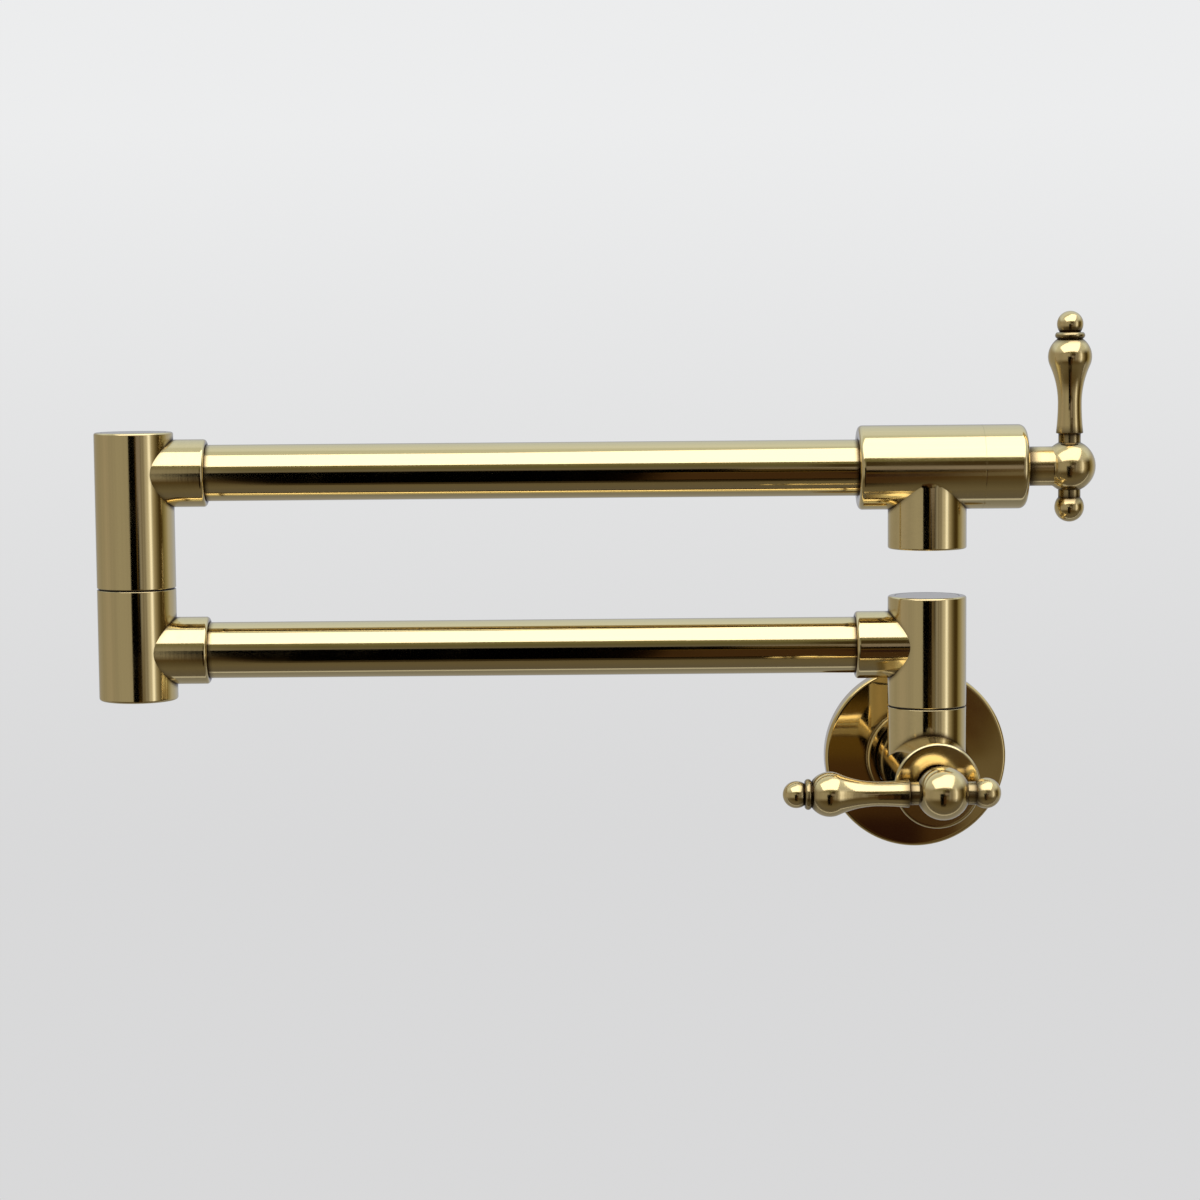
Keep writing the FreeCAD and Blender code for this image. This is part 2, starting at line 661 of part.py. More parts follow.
def save(name, shapes):
    """One STEP file for a node, its pieces as separate solids."""
    pieces = shapes if isinstance(shapes, list) else [shapes]
    solids = [s for piece in pieces for s in piece.Solids]
    shape = solids[0] if len(solids) == 1 else Part.makeCompound(solids)
    shape.exportStep(os.path.join("parts", name + ".step"))
    box = shape.BoundBox
    print(name, len(solids), "solids", shape.isValid(), round(shape.Volume, 1), "mm3,",
          [round(v, 2) for v in (box.XMin, box.XMax, box.YMin, box.YMax, box.ZMin, box.ZMax)])


def valveInsides():
    return {"seat_washer": seatWasher(), "fixed_disc": fixedDisc(), "moving_disc": movingDisc(),
            "cartridge_shell": cartridgeShell(), "spindle": spindle(), "spindle_seal": spindleRing()}


def handle():
    pieces = {"handle_hub": handleHub(), "lever": lever(), "finial": finial()}
    return {name: moved(shape, at(hubReach, 0, 0)) for name, shape in pieces.items()}


def main():
    os.makedirs("parts", exist_ok=True)
    valve = valveInsides()
    valve.update(handle())
    for name, shape in valve.items():
        save("wall_" + name, onWall(shape))
        save("spout_" + name, moved(shape, spindleAxis))
    save("wall_valve_body", onWall(wallValveBody()))
    save("wall_bonnet_cap", onWall(bonnetCap(brokenEdges, endBreak)))
    save("spout_body", moved(spoutBody(), spindleAxis))
    save("spout_bonnet_cap", moved(bonnetCap(roundedEdges, spoutFaceRounding), spindleAxis))

    outOfWall = FreeCAD.Placement(at(0, 0, 0), FreeCAD.Rotation(X, 90))
    for name, shape in (("wall_flange", wallFlange()), ("flange_o_ring", flangeRing())):
        save(name, placed(shape, outOfWall.toMatrix()))

    swivels = {"riser": (at(0, -standoff, riserSeam), shortSeamToBranch, shortBranchToEnd, -X),
               "elbow": (at(-armPitch, -standoff, elbowSeam), tallSeamToBranch, tallBranchToEnd, X)}
    for name, (foot, seamToBranch, branchToEnd, direction) in swivels.items():
        sizes = (seamToBranch, branchToEnd)
        save(name + "_post", moved(swivelPost(*sizes), foot))
        save(name + "_post_seals", [moved(s, foot) for s in postSeals(*sizes)])
        save(name + "_thrust_washer", moved(thrustWasher(), foot))
        save(name + "_snap_ring", moved(snapRing(*sizes), foot))
        save(name + "_cap", moved(barrelCap(*sizes), foot))
        barrel = moved(swivelBarrel(*sizes, direction), foot)
        save("riser_barrel" if name == "riser" else "elbow_upper_barrel", barrel)
    elbowFoot = swivels["elbow"][0]
    save("elbow_lower_barrel", moved(fixedBarrel(shortSeamToBranch, shortBranchToEnd, X), elbowFoot))

    tubeInset = collarReach - socketDepth
    save("lower_tube", moved(tube(-armPitch + tubeInset, -tubeInset), at(0, -standoff, lowerArmHeight)))
    save("upper_tube", moved(tube(-armPitch + tubeInset, -spoutBack + spoutSocketDepth), spindleAxis))

    lip = spindleAxis - at(0, 0, outletDrop)
    for name, shape in (("aerator_housing", aeratorHousing()), ("aerator_screen", aeratorScreen()),
                        ("aerator_washer", aeratorWasher())):
        save(name, moved(shape, lip))


main()
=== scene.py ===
import json
import math

import bmesh
import bpy
import numpy as np
from mathutils import Matrix, Vector
from mathutils.kdtree import KDTree


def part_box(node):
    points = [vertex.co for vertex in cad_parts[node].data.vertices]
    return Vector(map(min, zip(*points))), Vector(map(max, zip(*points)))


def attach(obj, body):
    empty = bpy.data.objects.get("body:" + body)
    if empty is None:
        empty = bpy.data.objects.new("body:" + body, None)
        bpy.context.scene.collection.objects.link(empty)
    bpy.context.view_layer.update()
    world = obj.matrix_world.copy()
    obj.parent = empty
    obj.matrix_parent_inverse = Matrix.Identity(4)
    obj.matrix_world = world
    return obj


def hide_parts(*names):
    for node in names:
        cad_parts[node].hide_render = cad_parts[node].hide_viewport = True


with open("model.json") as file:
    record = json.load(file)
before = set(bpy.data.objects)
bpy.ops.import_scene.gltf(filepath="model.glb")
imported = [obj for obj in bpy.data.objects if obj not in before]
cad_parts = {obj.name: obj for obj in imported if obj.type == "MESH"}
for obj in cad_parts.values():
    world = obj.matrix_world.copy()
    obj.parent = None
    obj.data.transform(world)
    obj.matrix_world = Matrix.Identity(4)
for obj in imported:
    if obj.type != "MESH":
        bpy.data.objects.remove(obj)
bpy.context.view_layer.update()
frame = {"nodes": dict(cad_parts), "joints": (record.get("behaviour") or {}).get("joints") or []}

mm = 0.001
fullTurn = 2 * math.pi
joints = {j["name"]: Vector(j["pos_m"]) for j in frame["joints"]}
riserSpot = joints["riser_swivel"]
elbowSpot = joints["elbow_swivel"]
wallHub = joints["wall_valve_turn"]    # middle of each hub's ball
spoutHub = joints["spout_valve_turn"]
right, left, up, down = Vector((1, 0, 0)), Vector((-1, 0, 0)), Vector((0, 0, 1)), Vector((0, 0, -1))
outward = Vector((0, -1, 0))           # out of the wall


# corners of a node's box in mm
def low(node):
    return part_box(node)[0] / mm


def high(node):
    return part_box(node)[1] / mm


cameraPlace = {
    "spot": (-120.35, -1120.84, 161.37),   # mm
    "downTilt": 5.2345,                    # degrees
    "turnRight": 0.1896,
    "roll": -0.4675,
    "lens": 90.78,
    "sensor": 36.0,
    "sees": (0.02, 40),                    # nearest and farthest, in m
}


def makeCamera(place):
    tilt, turn, roll = (math.radians(place[k]) for k in ("downTilt", "turnRight", "roll"))
    forward = Vector((math.sin(turn) * math.cos(tilt), math.cos(turn) * math.cos(tilt), -math.sin(tilt)))
    level = Vector((math.cos(turn), -math.sin(turn), 0))
    above = level.cross(forward)
    across = math.cos(roll) * level + math.sin(roll) * above
    upright = -math.sin(roll) * level + math.cos(roll) * above
    data = bpy.data.cameras.new("productCamera")
    data.lens, data.sensor_width = place["lens"], place["sensor"]
    data.clip_start, data.clip_end = place["sees"]
    camera = bpy.data.objects.new("productCamera", data)
    bpy.context.scene.collection.objects.link(camera)
    axes = Matrix((across, upright, -forward)).transposed().to_4x4()
    camera.matrix_world = Matrix.Translation(Vector(place["spot"]) * mm) @ axes
    bpy.context.scene.camera = camera


makeCamera(cameraPlace)
print("camera set")


turning = {
    "arcStep": 12.0,                   # degrees between the points of a rounding
    "hold": 0.3, "rim": 1.0,           # first and second ring in from the end of a run
    "fit": 3,                          # a run has room for them if it is this many times as long
    "spacing": 3.2,                    # between the rings along a run
    "onAxis": 0.01, "point": 1e-6,     # a run and a point this near the axis count as on it
}
# points in a ring, and the share of a step that it is turned by, so that no two cuts meet edge on edge
ringSteps = {
    "outer": (176, 0.37), "branch": (176, 0.13), "collar": (160, 0.21), "bore": (160, 0.07),
    "cap": (160, 0.37), "tube": (160, 0.37), "socket": (144, 0.11), "post": (144, 0.29),
    "drain": (144, 0.17), "lever": (128, 0.37), "finial": (112, 0.37), "seat": (96, 0.19),
    "inlet": (96, 0.03), "flange": (256, 0.37),
}
arcSteps = {"curve": 2.0, "bulb": 3.0, "ball": 5.0, "bead": 8.0}     # degrees between points
past = 1.0                             # how far a cutter runs on past the face that it cuts
solderGap = 0.03                       # round a tube in its socket


# corners to points, with each rounding as a short arc
def roundedOutline(corners, closed):
    count = len(corners)
    points = []
    for i, corner in enumerate(corners):
        here = np.array(corner[:2], float)
        rounding = corner[2] if len(corner) > 2 else 0
        if rounding == 0 or (not closed and i in (0, count - 1)):
            points.append(here)
            continue
        back = np.array(corners[i - 1][:2], float) - here
        ahead = np.array(corners[(i + 1) % count][:2], float) - here
        back, ahead = back / np.linalg.norm(back), ahead / np.linalg.norm(ahead)
        half = math.acos(np.clip(back @ ahead, -1, 1)) / 2
        reach = rounding / math.tan(half)
        middle = here + (back + ahead) / np.linalg.norm(back + ahead) * rounding / math.sin(half)
        start, end = here + back * reach - middle, here + ahead * reach - middle
        sweep = math.pi - 2 * half
        steps = max(2, math.ceil(math.degrees(sweep) / turning["arcStep"]))
        for k in range(steps + 1):
            share = k / steps
            points.append(middle + (math.sin((1 - share) * sweep) * start + math.sin(share * sweep) * end)
                          / math.sin(sweep))
    return points


# even angles in radians from one angle to another, both in degrees
def anglesBetween(fromAngle, toAngle, step):
    steps = max(2, math.ceil(abs(toAngle - fromAngle) / step))
    return [math.radians(fromAngle + (toAngle - fromAngle) * k / steps) for k in range(steps + 1)]


# points on a ball, angles from the axis' far pole
def ballPoints(radius, centre, fromAngle, toAngle, step):
    return [(radius * max(math.sin(a), 0), centre + radius * math.cos(a))
            for a in anglesBetween(fromAngle, toAngle, step)]


# points of a circle in the outline's plane, angles from the outward radius
def arcBetween(radius, centre, fromAngle, toAngle, step):
    return [(centre[0] + radius * math.cos(a), centre[1] + radius * math.sin(a))
            for a in anglesBetween(fromAngle, toAngle, step)]


# extra points near the ends of long runs and along them, so that shading stays true
def held(points, closed, spacing):
    hold, rim, fit = turning["hold"], turning["rim"], turning["fit"]
    out = []
    for a, b in zip(points, points[1:] + (points[:1] if closed else [])):
        a, b = np.array(a, float), np.array(b, float)
        out.append(a)
        length = np.linalg.norm(b - a)
        if length < fit * hold or a[0] + b[0] < turning["onAxis"]:
            continue
        along = (b - a) / length
        inset = rim if length > fit * rim else hold
        inner = length - 2 * inset
        steps = max(1, math.ceil(inner / spacing))
        stations = [inset + inner * k / steps for k in range(steps + 1)]
        if inset > hold:
            stations = [hold] + stations + [length - hold]
        out += [a + along * station for station in stations]
    if not closed:
        out.append(np.array(points[-1], float))
    return out


def meshOf(verts, faces, name):
    mesh = bpy.data.meshes.new(name)
    mesh.from_pydata([tuple(v) for v in verts], [], faces)
    work = bmesh.new()
    work.from_mesh(mesh)
    bmesh.ops.recalc_face_normals(work, faces=work.faces)
    work.to_mesh(mesh)
    work.free()
    return mesh


# solid turned round an axis through spot (mm); closed outlines make rings, and thread adds to the radius
def turned(name, corners, spot, axis, rings="outer", closed=False, spacing=turning["spacing"], thread=None):
    points = held(roundedOutline(corners, closed), closed, spacing)
    around, shift = ringSteps[rings]
    place = up.rotation_difference(axis).to_matrix()
    verts, loops = [], []
    for r, h in points:
        if r < turning["point"]:
            loops.append([len(verts)])
            verts.append(Vector((0, 0, h)))
            continue
        loop = []
        for k in range(around):
            turn = fullTurn * (k + shift) / around
            radius = r + (thread(h, turn) if thread else 0)
            loop.append(len(verts))
            verts.append(Vector((radius * math.cos(turn), radius * math.sin(turn), h)))
        loops.append(loop)
    faces = []
    for a, b in list(zip(loops, loops[1:])) + ([(loops[-1], loops[0])] if closed else []):
        for k in range(around if len(a) + len(b) > 2 else 0):
            n = (k + 1) % around
            if len(a) == 1:
                faces.append((a[0], b[k], b[n]))
            elif len(b) == 1:
                faces.append((a[k], a[n], b[0]))
            else:
                faces.append((a[k], a[n], b[n], b[k]))
    centre = Vector(spot)
    placed = [(place @ v + centre) * mm for v in verts]
    piece = bpy.data.objects.new(name, meshOf(placed, faces, name))
    bpy.context.scene.collection.objects.link(piece)
    return piece


# the piece's modifiers become its mesh
def settle(piece):
    view = bpy.context.evaluated_depsgraph_get()
    mesh = bpy.data.meshes.new_from_object(piece.evaluated_get(view), preserve_all_data_layers=True,
                                           depsgraph=view)
    piece.modifiers.clear()
    old, piece.data = piece.data, mesh
    bpy.data.meshes.remove(old)
    mesh.name = piece.name


# two closed solids into one; the other one is used up
def combine(piece, other, how):
    tool = piece.modifiers.new(how, "BOOLEAN")
    tool.operation, tool.solver, tool.object = how, "EXACT", other
    settle(piece)
    bpy.data.objects.remove(other)


def join(piece, other):
    combine(piece, other, "UNION")


def cut(piece, other):
    combine(piece, other, "DIFFERENCE")


# a shader node with its settings and the values of its sockets
def addNode(tree, kind, values=None, **settings):
    node = tree.nodes.new("ShaderNode" + kind)
    for name, value in settings.items():
        setattr(node, name, value)
    for socket, value in (values or {}).items():
        node.inputs[socket].default_value = value
    return node


# arithmetic on sockets and plain numbers
def maths(tree, operation, *terms, clamp=False):
    node = addNode(tree, "Math", operation=operation, use_clamp=clamp)
    for slot, term in enumerate(terms):
        if isinstance(term, (int, float)):
            node.inputs[slot].default_value = term
        else:
            tree.links.new(term, node.inputs[slot])
    return node.outputs[0]


def ranged(tree, value, values, **settings):
    node = addNode(tree, "MapRange", values, **settings)
    tree.links.new(value, node.inputs["Value"])
    return node.outputs["Result"]


# colour between two plain colours or sockets
def mixed(tree, share, first, second):
    node = addNode(tree, "Mix", data_type="RGBA")
    tree.links.new(share, node.inputs["Factor"])
    for slot, colour in ((6, first), (7, second)):
        if isinstance(colour, (tuple, list)):
            node.inputs[slot].default_value = (*colour, 1)
        else:
            tree.links.new(colour, node.inputs[slot])
    return node.outputs[2]


# an empty group with named sockets: (name, kind, default)
def shaderGroup(name, inputs, outputs):
    tree = bpy.data.node_groups.new(name, "ShaderNodeTree")
    for socket, kind, value in inputs:
        made = tree.interface.new_socket(name=socket, in_out="INPUT", socket_type="NodeSocket" + kind)
        if value is not None:
            made.default_value = value
    for socket, kind in outputs:
        tree.interface.new_socket(name=socket, in_out="OUTPUT", socket_type="NodeSocket" + kind)
    return tree, tree.nodes.new("NodeGroupInput").outputs, tree.nodes.new("NodeGroupOutput").inputs


grainShape = {"fineDetail": 3.0, "broadScale": 0.22, "broadDetail": 2.0, "broadShare": 0.4}


# fine brush lines: noise drawn out along the brushing, over slow bands
def makeGrain(shape):
    tree, given, out = shaderGroup(
        "brushGrain",
        [("Place", "Vector", None), ("Stretch", "Vector", (60, 3000, 3000))], [("Streak", "Float")])
    link = tree.links.new
    scaled = addNode(tree, "VectorMath", operation="MULTIPLY")
    link(given["Place"], scaled.inputs[0])
    link(given["Stretch"], scaled.inputs[1])
    fine = addNode(tree, "TexNoise", {"Scale": 1.0, "Detail": shape["fineDetail"]})
    broad = addNode(tree, "TexNoise", {"Scale": shape["broadScale"], "Detail": shape["broadDetail"]})
    both = addNode(tree, "Mix", {0: shape["broadShare"]})
    for slot, noise in ((2, fine), (3, broad)):
        link(scaled.outputs[0], noise.inputs["Vector"])
        link(noise.outputs["Fac"], both.inputs[slot])
    link(both.outputs[0], out["Streak"])
    return tree


hazeShape = {"detail": 4.0, "full": 0.75}


# soft patches where hands and water have dulled the polish
def makeHaze(shape):
    tree, given, out = shaderGroup(
        "handlingHaze", [("Place", "Vector", None), ("Patch", "Float", 45.0), ("Cover", "Float", 0.5)],
        [("Haze", "Float")])
    link = tree.links.new
    patch = addNode(tree, "TexNoise", {"Detail": shape["detail"]})
    link(given["Place"], patch.inputs["Vector"])
    link(given["Patch"], patch.inputs["Scale"])
    soft = addNode(tree, "MapRange", {"From Max": shape["full"]}, interpolation_type="SMOOTHSTEP")
    link(patch.outputs["Fac"], soft.inputs["Value"])
    link(given["Cover"], soft.inputs["From Min"])
    link(soft.outputs["Result"], out["Haze"])
    return tree


# colour that lightens at outer rims, a painted highlight, and darkens in corners, painted shade
def makeEdgeTone():
    tree, given, out = shaderGroup(
        "edgeTone",
        [("Metal", "Color", (0.8, 0.6, 0.3, 1)), ("RimLit", "Color", (0.9, 0.8, 0.5, 1)),
         ("ShadeTone", "Color", (0.2, 0.1, 0.03, 1)), ("Rim", "Float", 0.0), ("Crease", "Float", 0.0),
         ("Break", "Float", 0.5)],
        [("Color", "Color"), ("ShadeMask", "Float")])
    # painted highlight on outer rims, broken up by the grain
    brokenRim = maths(tree, "MULTIPLY", given["Rim"], given["Break"], clamp=True)
    rimLit = mixed(tree, brokenRim, given["Metal"], given["RimLit"])
    tree.links.new(mixed(tree, given["Crease"], rimLit, given["ShadeTone"]), out["Color"])
    tree.links.new(maths(tree, "MULTIPLY", given["Crease"], given["Break"], clamp=True), out["ShadeMask"])
    return tree


grainGroup, hazeGroup, edgeGroup = makeGrain(grainShape), makeHaze(hazeShape), makeEdgeTone()


# a material with its grain, its gloss range and its fine bump, all from one look
def newFinish(name, look):
    material = bpy.data.materials.new(name)
    material.use_nodes = True
    material.diffuse_color = (*look["tone"], 1)
    tree = material.node_tree
    shader = tree.nodes["Principled BSDF"]
    shader.inputs["Base Color"].default_value = (*look["tone"], 1)
    shader.inputs["Metallic"].default_value = look["metal"]
    link = tree.links.new
    place = addNode(tree, "TexCoord").outputs["Object"]
    grain = addNode(tree, "Group", {"Stretch": look["stretch"]}, node_tree=grainGroup)
    haze = addNode(tree, "Group", {"Patch": look["patch"], "Cover": look["cover"]}, node_tree=hazeGroup)
    for node in (grain, haze):
        link(place, node.inputs["Place"])
    glossy, dull = look["rough"]
    rough = ranged(tree, haze.outputs["Haze"], {"To Min": glossy, "To Max": dull})
    bump = addNode(tree, "Bump", {"Strength": look["bump"], "Distance": look["bumpDepth"] * mm})
    link(grain.outputs["Streak"], bump.inputs["Height"])
    link(bump.outputs["Normal"], shader.inputs["Normal"])
    return material, tree, shader, grain.outputs["Streak"], rough


# the sky that reaches a point sets how much painted shade it gets
contact = {"samples": 8, "open": 0.95, "shut": 0.66}      # how much sky counts as open, and as shut in


# gold finishes: grain along one axis, a painted highlight on outer rims, and painted shade in corners and
# where pieces meet, where the gloss is also dulled
def metal(name, look):
    material, tree, shader, streak, rough = newFinish(name, look)
    link = tree.links.new
    shown = {}
    # rim marks the painted highlight on outer rims, corner the painted shade in inner corners
    for mark in ("rim", "corner"):
        read = addNode(tree, "Attribute", attribute_name=mark)
        shown[mark] = maths(tree, "MULTIPLY", read.outputs["Fac"], look[mark + "Show"])
    # painted shade: the less sky reaches a point, the darker its colour, in corners and where pieces meet
    reach = {"Distance": look["creaseReach"] * mm}
    near = addNode(tree, "AmbientOcclusion", reach, samples=contact["samples"])
    shut = ranged(tree, near.outputs["AO"], {"From Min": contact["open"], "From Max": contact["shut"],
                                             "To Max": look["creaseShow"]})
    edges = {"RimLit": (*look["rimLit"], 1), "ShadeTone": (*look["shadeTone"], 1)}
    tone = addNode(tree, "Group", edges, node_tree=edgeGroup)
    link(shown["rim"], tone.inputs["Rim"])
    link(maths(tree, "MAXIMUM", shut, shown["corner"]), tone.inputs["Crease"])
    link(streak, tone.inputs["Break"])
    darker = [c * (1 - look["toneSpread"]) for c in look["tone"]]
    lighter = [min(1, c * (1 + look["toneSpread"])) for c in look["tone"]]
    link(mixed(tree, streak, darker, lighter), tone.inputs["Metal"])
    link(tone.outputs["Color"], shader.inputs["Base Color"])
    # the gloss is dulled where the painted shade lies
    dulled = maths(tree, "MULTIPLY_ADD", tone.outputs["ShadeMask"], look["shadeRough"], rough)
    link(dulled, shader.inputs["Roughness"])
    return material


alongX, alongY, alongZ = (14, 1500, 1500), (1500, 14, 1500), (1500, 1500, 14)      # brushed lengthwise
roundX, roundY, roundZ = (2600, 25, 25), (25, 2600, 25), (25, 25, 2600)            # turned on a lathe
# the rim colour with rimShow is a painted highlight on outer rims; the dark corner colour with cornerShow,
# creaseShow and creaseReach is painted shade
satinLook = {
    "metal": 1.0, "tone": (0.83, 0.685, 0.385), "toneSpread": 0.10, "rimLit": (0.93, 0.86, 0.66),
    "shadeTone": (0.07, 0.035, 0.012), "rimShow": 0.6, "cornerShow": 0.0, "creaseShow": 0.95, "creaseReach": 2.0,
    "shadeRough": 0.2, "rough": (0.085, 0.14), "patch": 38.0, "cover": 0.45, "bump": 0.22, "bumpDepth": 0.02,
}
tubeLook = {**satinLook, "rough": (0.07, 0.11), "bump": 0.10, "stretch": alongX, "toneSpread": 0.05}
flangeLook = {**satinLook, "tone": (0.80, 0.62, 0.30), "rough": (0.05, 0.09), "bump": 0.05,
              "stretch": (60, 60, 60), "toneSpread": 0.04}
# on the handles the painted shade reaches far up the necks
handleLook = {**satinLook, "tone": (0.80, 0.64, 0.34), "rough": (0.13, 0.21), "shadeTone": (0.045, 0.022, 0.01),
              "cornerShow": 0.95, "creaseShow": 1.0, "creaseReach": 5.5, "bump": 0.35, "bumpDepth": 0.10,
              "stretch": (300, 300, 300), "toneSpread": 0.06}
machinedLook = {**satinLook, "tone": (0.86, 0.72, 0.40), "rough": (0.22, 0.30), "bump": 0.25,
                "creaseShow": 0.3, "toneSpread": 0.08}
satin = {axis: metal("satinGold" + axis, {**satinLook, "stretch": grain})
         for axis, grain in (("X", alongX), ("Y", alongY), ("Z", alongZ))}
tubeGold = metal("tubeGold", tubeLook)
mirrorGold = metal("mirrorGold", flangeLook)
handleGold = metal("handleGold", handleLook)
machined = {axis: metal("machinedBrass" + axis, {**machinedLook, "stretch": grain})
            for axis, grain in (("X", roundX), ("Y", roundY), ("Z", roundZ))}


# rubber, ceramic, nylon, steel: two tones along a grain
def plain(name, look):
    material, tree, shader, streak, rough = newFinish(name, look)
    tree.links.new(mixed(tree, streak, look["tone"], look["second"]), shader.inputs["Base Color"])
    tree.links.new(rough, shader.inputs["Roughness"])
    return material


sealLook = {"tone": (0.012, 0.012, 0.013), "second": (0.035, 0.034, 0.033), "metal": 0.0, "rough": (0.5, 0.7),
            "stretch": (900, 900, 900), "patch": 120.0, "cover": 0.4, "bump": 0.3, "bumpDepth": 0.05}
sealRubber = plain("sealRubber", sealLook)
ceramic = plain("lappedCeramic", {**sealLook, "tone": (0.82, 0.81, 0.77), "second": (0.90, 0.89, 0.86),
                                  "rough": (0.12, 0.2), "bump": 0.05})
springSteel = plain("springSteel", {**sealLook, "tone": (0.50, 0.50, 0.51), "second": (0.62, 0.62, 0.63),
                                    "metal": 1.0, "rough": (0.25, 0.38), "stretch": roundZ, "bump": 0.15})
darkNylon = plain("darkNylon", {**sealLook, "tone": (0.035, 0.026, 0.018), "second": (0.055, 0.042, 0.03),
                                "rough": (0.4, 0.55), "bump": 0.1})
palePlastic = plain("palePlastic", {**sealLook, "tone": (0.62, 0.63, 0.63), "second": (0.70, 0.71, 0.71),
                                    "rough": (0.32, 0.45), "bump": 0.12})
print("finishes made")


# reaches in mm, turns in degrees, and the weight of the larger faces in the shading
marks = {"rimReach": 0.9, "cornerReach": 2.4, "sharpTurn": 20.0, "smoothBelow": 28.0, "weight": 60}


# stores how near each point is to an outer edge, for the painted rim highlight, and to an inner corner, for
# painted shade
def markEdges(mesh):
    work = bmesh.new()
    work.from_mesh(mesh)
    turn = math.radians(marks["sharpTurn"])
    found = {"rim": [], "corner": []}
    for edge in work.edges:
        angle = edge.calc_face_angle_signed(0) if len(edge.link_faces) == 2 else 0
        if abs(angle) > turn:
            found["rim" if angle > 0 else "corner"].append((edge.verts[0].co + edge.verts[1].co) / 2)
    work.free()
    for mark, spots in found.items():
        values = np.zeros(len(mesh.vertices), np.float32)
        tree = KDTree(len(spots))
        for i, co in enumerate(spots):
            tree.insert(co, i)
        tree.balance()
        for vertex in mesh.vertices if spots else []:
            values[vertex.index] = max(0.0, 1 - tree.find(vertex.co)[2] / (marks[mark + "Reach"] * mm))
        mesh.attributes.new(mark, "FLOAT", "POINT").data.foreach_set("value", values)


# shading, edge marks, finish, the body that it rides on and the solid that it stands for
def finish(piece, material, body, node):
    markEdges(piece.data)
    piece.data.shade_smooth()
    piece.data.set_sharp_from_angle(angle=math.radians(marks["smoothBelow"]))
    even = piece.modifiers.new("evenNormals", "WEIGHTED_NORMAL")
    even.keep_sharp, even.weight = True, marks["weight"]
    settle(piece)
    piece.data.materials.clear()
    piece.data.materials.append(material)
    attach(piece, body)
    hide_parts(node)


tubeRadius = (high("lower_tube").z - low("lower_tube").z) / 2
barrelRadius = (high("riser_barrel").y - low("riser_barrel").y) / 2
bodyRadius = (high("wall_bonnet_cap").z - low("wall_bonnet_cap").z) / 2
standoff = -riserSpot.y / mm           # from the wall to the middle of the arms
lowerArmZ = (low("lower_tube").z + high("lower_tube").z) / 2
upperArmZ = (low("upper_tube").z + high("upper_tube").z) / 2

barrelShape = {
    "endRound": 0.9, "seamRound": 0.28, "topRound": 0.8, "rimRound": 1.1, "mouthBreak": 0.45,
    "collarWall": 2.0, "collarReach": riserSpot.x / mm - low("riser_barrel").x, "socketDepth": 12.0,
    "portStart": 4.0, "portRadius": 5.5,
    "bore": 9.05, "chamber": 10.5, "chamberHalf": 5.5, "capBore": 11.53, "capThick": 3.0, "pocket": 2.3,
    "postSocket": 9.03, "postBore": 6.0, "postBase": 12.0,
}


# the collar that holds a tube
def collar(spot, direction, shape):
    radius, reach = tubeRadius + shape["collarWall"], shape["collarReach"]
    return turned("collar", [(0, 0), (radius, 0), (radius, reach, shape["rimRound"]), (0, reach)],
                  spot, direction, "collar")


# the tube's socket in the collar, with its flared mouth, and the water port behind it
def socketCutter(spot, direction, shape):
    hole, port, start = tubeRadius + solderGap, shape["portRadius"], shape["portStart"]
    reach, mouth = shape["collarReach"], shape["mouthBreak"]
    inner = reach - shape["socketDepth"]
    return turned("socket", [(0, start), (port, start), (port, inner), (hole, inner),
                             (hole, reach - mouth), (hole + mouth + past, reach + past), (0, reach + past)],
                  spot, direction, "socket")


# upper half of a swivel: bore, ring chamber, pocket for the snap ring and seat for the cap
def swivelBores(foot, top, branch, shape):
    half, bore, chamber = shape["chamberHalf"], shape["bore"], shape["chamber"]
    seat = top - shape["capThick"]
    floor = seat - shape["pocket"]
    return [(0, foot - past), (bore, foot - past), (bore, branch - half), (chamber, branch - half),
            (chamber, branch + half), (bore, branch + half), (bore, floor), (chamber, floor), (chamber, seat),
            (shape["capBore"], seat), (shape["capBore"], top + past), (0, top + past)]


# lower half: the water's way and the socket that the post is screwed into
def postBores(start, top, shape):
    base = top - shape["postBase"]
    return [(0, start), (shape["postBore"], start), (shape["postBore"], base), (shape["postSocket"], base),
            (shape["postSocket"], top + past), (0, top + past)]


# upright barrel with the collar of its tube; one that swivels is open at the top for its cap
def barrel(name, node, axisSpot, branch, direction, body, swivels, shape):
    foot, top = low(node).z, high(node).z
    x, y = axisSpot.x / mm, axisSpot.y / mm
    if swivels:
        ends, bores = ("seamRound", "topRound"), swivelBores(foot, top, branch, shape)
    else:
        ends, bores = ("endRound", "seamRound"), postBores(branch - shape["portRadius"], top, shape)
    piece = turned(name, [(0, foot), (barrelRadius, foot, shape[ends[0]]),
                          (barrelRadius, top, shape[ends[1]]), (0, top)], (x, y, 0), up)
    join(piece, collar((x, y, branch), direction, shape))
    cut(piece, turned("bores", bores, (x, y, 0), up, "bore"))
    cut(piece, socketCutter((x, y, branch), direction, shape))
    finish(piece, satin["Z"], body, node)


barrel("riserBarrel", "riser_barrel", riserSpot, lowerArmZ, left, "lower_arm", True, barrelShape)
barrel("elbowLowerBarrel", "elbow_lower_barrel", elbowSpot, lowerArmZ, right, "lower_arm", False, barrelShape)
barrel("elbowUpperBarrel", "elbow_upper_barrel", elbowSpot, upperArmZ, right, "upper_arm", True, barrelShape)
print("barrels turned")


capShape = {"footBreak": 0.2, "edge": 0.3}


# screwed plug in a barrel's top
def cap(name, node, spot, body, shape):
    foot, top = low(node).z, high(node).z
    radius = (high(node).x - low(node).x) / 2
    piece = turned(name, [(0, foot), (radius, foot, shape["footBreak"]), (radius, top, shape["edge"]),
                          (0, top)], (spot.x / mm, spot.y / mm, 0), up, "cap")
    finish(piece, satin["Z"], body, node)


